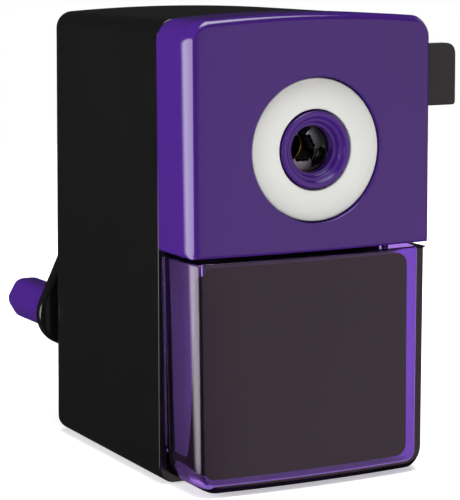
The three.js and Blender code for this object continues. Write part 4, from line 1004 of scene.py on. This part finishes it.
def makeLever():
    # the tab's outline with its own corners, both faces' edges rounded
    low, high = boxOf("release_lever")
    rivets = ["lever_rivet_1", "lever_rivet_2"]
    outline = softened([(low[0], low[2], 1), (high[0], low[2], lever["smallCorner"]),
                        (high[0], high[2], lever["bigCorner"]), (low[0] + 3, high[2], 2),
                        (low[0], low[2] + 10, 2)], 8)
    tab = plateFrom("lever", outline, edgeRows(low[1], high[1], lever["round"]))
    holes = [rodFrom("hole", 1.5, low[1] - 1, high[1] + 1, middleOf(node), 32) for node in rivets]
    carve(tab, (), holes)
    place(tab, "release_lever", "lever", "grey_nylon", greyNylon)
    for node in rivets:
        a, b = boxOf(node)
        rivet = turnedFrom("rivet", softened([
            (0, a[1], 0), (1.5, a[1], 0.6), (2, a[1] + 0.7, 0.1), (1.2, a[1] + 0.7, 0.1),
            (1.2, b[1] - 0.7, 0.1), (2, b[1] - 0.7, 0.1), (1.5, b[1], 0.6), (0, b[1], 0)],
            4, closed=False), middleOf(node), 40)
        place(rivet, node, "lever", "bright_steel", brightSteel)


jaw = {"tip": 2.6, "length": 12, "width": 5.6, "thick": 3, "teeth": 4, "depth": 0.75,
       "edge": 0.25, "pinAt": 12.6, "pinRadius": 1.2}


def makeJaws():
    # The tip's edge waves in and out once for each tooth; the rest is a straight bar.
    half = jaw["width"] / 2
    z = np.linspace(-half + 0.1, half - 0.1, 64)
    wave = 0.5 + 0.5 * np.cos(z / jaw["width"] * jaw["teeth"] * 2 * math.pi)
    tip = np.stack([jaw["tip"] + jaw["depth"] * wave, z], 1)[::-1]
    end = jaw["tip"] + jaw["length"]
    outline = np.concatenate([tip, [(jaw["tip"] + 1.4, -half), (end, -half), (end, half),
                                    (jaw["tip"] + 1.4, half)]])
    for i, degrees in enumerate((30, 150, 270)):
        low, high = boxOf(f"chuck_jaw_{i + 1}")
        a = math.radians(degrees)
        c, s = math.cos(a), math.sin(a)
        turned = np.stack([outline[:, 0] * c - outline[:, 1] * s,
                           axisZ + outline[:, 0] * s + outline[:, 1] * c], 1)
        back = low[1] + jaw["thick"]
        bar = plateFrom("jaw", turned, edgeRows(low[1], back, jaw["edge"], 3))
        pin = turnedFrom("pin", softened([(0, back - 0.5, 0), (jaw["pinRadius"], back - 0.5, 0),
                                          (jaw["pinRadius"], high[1], 0.3), (0, high[1], 0)],
                                         3, closed=False),
                         (jaw["pinAt"] * c, axisZ + jaw["pinAt"] * s), 40)
        carve(bar, [pin])
        place(bar, f"chuck_jaw_{i + 1}", f"jaw_{i + 1}", "dark_steel", jawSteel, angle=50)


makeLever()
makeJaws()
print("lever and jaws made")


# Springs, rods, screws and bushes

def springFrom(name, node, wire, turns, upright=False):
    # Wire swept along a coil: the axis runs along Y (or Z), the first and last turn are closed up,
    # and each ring of the wire stands square to the coil's direction.
    low, high = boxOf(node)
    axis = 2 if upright else 1
    start, end = low[axis] + wire, high[axis] - wire
    centre = (low + high) / 2
    radius = (high[0] - low[0]) / 2 - wire
    t = np.linspace(0, 1, int(turns * 30))[:, None]
    angle = t * turns * 2 * math.pi
    closed = 0.9 / turns
    share = np.clip((t - closed) / (1 - 2 * closed), 0, 1)
    rise = wire * 2 * np.minimum(t, closed) / closed
    rise = (rise + (end - start - 4 * wire) * share
            + wire * 2 * np.clip(t - 1 + closed, 0, closed) / closed)
    slope = np.gradient(rise[:, 0])[:, None] / np.gradient(angle[:, 0])[:, None]
    around = np.linspace(0, 2 * math.pi, 10, endpoint=False)
    size = np.hypot(radius, slope)
    across, lift = np.cos(around) * wire, np.sin(around) * wire
    out = radius + across
    a = out * np.cos(angle) + lift * slope / size * np.sin(angle)
    b = out * np.sin(angle) - lift * slope / size * np.cos(angle)
    along = start + rise + lift * radius / size
    if upright:
        return solidFrom(name, centre[0] + a, centre[1] + b, along)
    return solidFrom(name, centre[0] + a, along, centre[2] + b)


def screwFrom(node, shank, headHigh, headRadius, facing):
    # Pan head with a cross recess, and a threaded shank whose radius waves along it.
    low, high = boxOf(node)
    upright = node.startswith("base")
    axis = 2 if upright else 1
    at = middleOf(node, upright)
    head, tip = (low[axis], high[axis]) if facing < 0 else (high[axis], low[axis])
    step = 1 if tip > head else -1
    y = np.linspace(head + step * (headHigh + 0.1), tip - step * 0.8, 60)
    wave = shank - 0.12 + 0.12 * np.cos((y - head) / 0.6 * 2 * math.pi)
    under = head + step * headHigh
    top = softened([(0, head, 0), (headRadius, head, 0.45), (headRadius, under, 0.1),
                    (shank - 0.1, under, 0)], 4, closed=False)
    rows = np.concatenate([top, np.stack([wave, y], 1), [(shank * 0.4, tip), (0, tip)]])
    screw = turnedFrom("screw", rows, at, 40, upright=upright)
    long, thin = headRadius * 0.62, 0.28   # half sizes of the recess's two bars
    rows = sorted([head - step * 0.5, head + step * headHigh * 0.6])
    for w, t in ((long, thin), (thin, long)):
        outline = np.array([(at[0] + w, at[1] - t), (at[0] + w, at[1] + t),
                            (at[0] - w, at[1] + t), (at[0] - w, at[1] - t)])
        tool = plateFrom("cross", outline, [(0, rows[0]), (0, rows[1])], upright=upright)
        carve(screw, (), [tool])
    return screw


def makeHardware():
    for side in ("left", "right"):
        rod = f"guide_rod_{side}"
        low, high = boxOf(rod)
        at, groove = middleOf(rod), boxOf(f"rod_clip_{side}")
        place(turnedFrom("rod", softened([
            (0, low[1], 0), (2, low[1], 0.3), (2, groove[0][1] - 0.15, 0.05),
            (1.5, groove[0][1] - 0.15, 0.05), (1.5, groove[1][1] + 0.15, 0.05),
            (2, groove[1][1] + 0.15, 0.05), (2, high[1], 0.5), (0, high[1], 0)],
            4, closed=False), at, 64), rod, "front_carriage", "bright_steel", brightSteel)
        feed = place(springFrom("spring", f"feed_spring_{side}", 0.4, 11), f"feed_spring_{side}",
                     "front_carriage", "bright_steel", brightSteel, angle=80)
        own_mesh(feed)
        place(screwFrom(f"frame_screw_{side}", 1.1, 1.1, 2.3, -1), f"frame_screw_{side}",
              "housing", "bright_steel", brightSteel)
        place(fromCad(f"rod_clip_{side}"), f"rod_clip_{side}", "front_carriage", "dark_steel",
              darkSteel, soft=0.1)
    for i in (1, 2, 3):
        place(screwFrom(f"chuck_screw_{i}", 1.2, 1.2, 2.3, 1), f"chuck_screw_{i}",
              "front_carriage", "bright_steel", brightSteel)
    for i in (1, 2, 3, 4):
        place(screwFrom(f"base_screw_{i}", 1.1, 0.7, 2.3, -1), f"base_screw_{i}", "housing",
              "bright_steel", brightSteel)
    low, at = boxOf("lever_spring")[0], middleOf("lever_spring", upright=True)
    spring = place(springFrom("spring", "lever_spring", 0.3, 8, upright=True), "lever_spring",
                   "front_carriage", "bright_steel", brightSteel, angle=80)
    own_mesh(spring)


def makeBushes():
    low, high = boxOf("pencil_sleeve")
    flange = high[1] - 5.5, high[1] - 4.5
    sleeve = softened([(3.8, low[1], 0.25), (4.6, low[1], 0.25), (4.6, flange[0], 0),
                       (9.6, flange[0], 0.2), (9.6, flange[1], 0.2), (4.6, flange[1], 0.1),
                       (4.6, high[1], 0.1), (3.8, high[1], 0.1)], 4)
    frameLow = boxOf("mechanism_frame")[0][1]
    sleeve[(sleeve[:, 1] > high[1] - 5.6) & (sleeve[:, 1] < high[1] - 4.4), 1] += (
        frameLow - 0.3 - (high[1] - 4.5))
    place(turnedFrom("sleeve", sleeve, loop=True), "pencil_sleeve", "housing", "brass", turnedBrass)
    low, high = boxOf("rear_bushing")
    bush = softened([(3.25, low[1], 0.2), (5.25, low[1], 0.2), (5.25, high[1] - 1, 0.05),
                     (high[0], high[1] - 1, 0.15), (high[0], high[1], 0.3),
                     (3.25, high[1], 0.3)], 4)
    place(turnedFrom("bush", bush, loop=True), "rear_bushing", "housing", "brass", turnedBrass)


def makeFeet():
    # low rubber buttons with two shallow grooves in the sole
    for name in ("foot_front_left", "foot_front_right", "foot_rear_left", "foot_rear_right",
                 "centre_pad"):
        low, high = boxOf(name)
        at, r = middleOf(name, upright=True), (high[0] - low[0]) / 2
        sole = softened([(0, 0, 0), (r * 0.3, 0, 0.1), (r * 0.33, 0.2, 0.1), (r * 0.4, 0.2, 0.1),
                         (r * 0.43, 0, 0.1), (r * 0.66, 0, 0.1), (r * 0.69, 0.2, 0.1),
                         (r * 0.76, 0.2, 0.1), (r * 0.79, 0, 0.1), (r - 0.4, 0, 0.3), (r, 0.5, 0.3),
                         (r, high[2], 0.15), (0, high[2], 0)], 3, closed=False)
        place(turnedFrom("foot", sole, at, 64, upright=True), name, "housing", "black_rubber",
              blackRubber)


makeHardware()
makeBushes()
makeFeet()
print("springs, rods, screws, bushes and feet made")


# Cutter and its axle

cutter = {"radius": 6.3, "depth": 0.75, "flutes": 14, "twist": 70, "bore": 1.9}
cutterJoint = jointOf("cutter_spin")


def onCutterAxis(across, along, up):
    # the cutter's own frame: along its joint's axis from the joint's place
    origin, axis = np.array(cutterJoint["pos_m"]) / mm, np.array(cutterJoint["axis"])
    axis = axis / np.linalg.norm(axis)
    side = np.cross((1, 0, 0), axis)
    points = (origin + across[..., None] * np.array((1, 0, 0)) + along[..., None] * axis
              + up[..., None] * side)
    return points[..., 0], points[..., 1], points[..., 2]


def makeCutter():
    # Radius over the angle: a steep flank and a long back for each flute. The rings turn evenly
    # along the axis, and the loop is shut through the bore.
    start, length = 2.8, 22.0
    angle = np.linspace(0, 2 * math.pi, cutter["flutes"] * 12, endpoint=False)
    phase = (angle * cutter["flutes"] / (2 * math.pi)) % 1
    rise = np.where(phase < 0.3, phase / 0.3, 1 - (phase - 0.3) / 0.7)
    rise = rise ** 1.4
    tooth = cutter["radius"] - cutter["depth"] + cutter["depth"] * rise
    t = np.linspace(0, 1, 44)[:, None]
    ends = np.concatenate([[0.93], np.ones(42), [0.93]])[:, None]
    twisted = angle + math.radians(cutter["twist"]) * t
    across = tooth * ends * np.cos(twisted)
    up = tooth * ends * np.sin(twisted)
    along = start + length * t + 0 * across
    inner = twisted[[-1, 0]]
    across = np.concatenate([across, cutter["bore"] * np.cos(inner)])
    up = np.concatenate([up, cutter["bore"] * np.sin(inner)])
    along = np.concatenate([along, along[[-1, 0]]])
    drum = solidFrom("cutter", *onCutterAxis(across, along, up), loop=True)
    place(drum, "helical_cutter", "cutter", "dark_steel", darkSteel, angle=40)
    t = np.linspace(0, 2 * math.pi, 48, endpoint=False)
    ys, axis = boxOf("cutter_axle"), np.array(cutterJoint["axis"])
    low = (ys[0][1] - cutterJoint["pos_m"][1] / mm - 1.6 * abs(axis[2])) / axis[1] + 0.45
    high = (ys[1][1] - cutterJoint["pos_m"][1] / mm + 1.6 * abs(axis[2])) / axis[1] - 0.45
    rows = softened([(0, low, 0), (1.6, low, 0.3), (1.6, high, 0.3), (0, high, 0)], 3, closed=False)
    radius, along = rows[:, :1], rows[:, 1:]
    across, up = radius * np.cos(t), radius * np.sin(t)
    axle = solidFrom("axle", *onCutterAxis(across, along + 0 * across, up))
    place(axle, "cutter_axle", "crank", "bright_steel", brightSteel)


makeCutter()

# pieces whose flat plates and gears come straight from the frame, with their edges softened:
# body, slot, material and the edges' width
kept = {
    "base_plate": ("housing", "black_abs", blackAbs, 0.2),
    "mechanism_frame": ("housing", "black_abs", blackAbs, 0.25),
    "ring_gear": ("housing", "cast_zinc", castZinc, 0.08),
    "cutter_carrier": ("crank", "cast_zinc", castZinc, 0.2),
    "cutter_pinion": ("cutter", "bright_steel", brightSteel, 0.1),
    "chuck_front_plate": ("front_carriage", "black_abs", blackAbs, 0.15),
    "chuck_back_plate": ("front_carriage", "black_abs", blackAbs, 0.2),
    "cam_ring": ("lever", "dark_steel", darkSteel, 0.12),
}
for node, (bodyName, slotName, material, soft) in kept.items():
    place(fromCad(node), node, bodyName, slotName, material, soft)
print("cutter, gears and plates made")
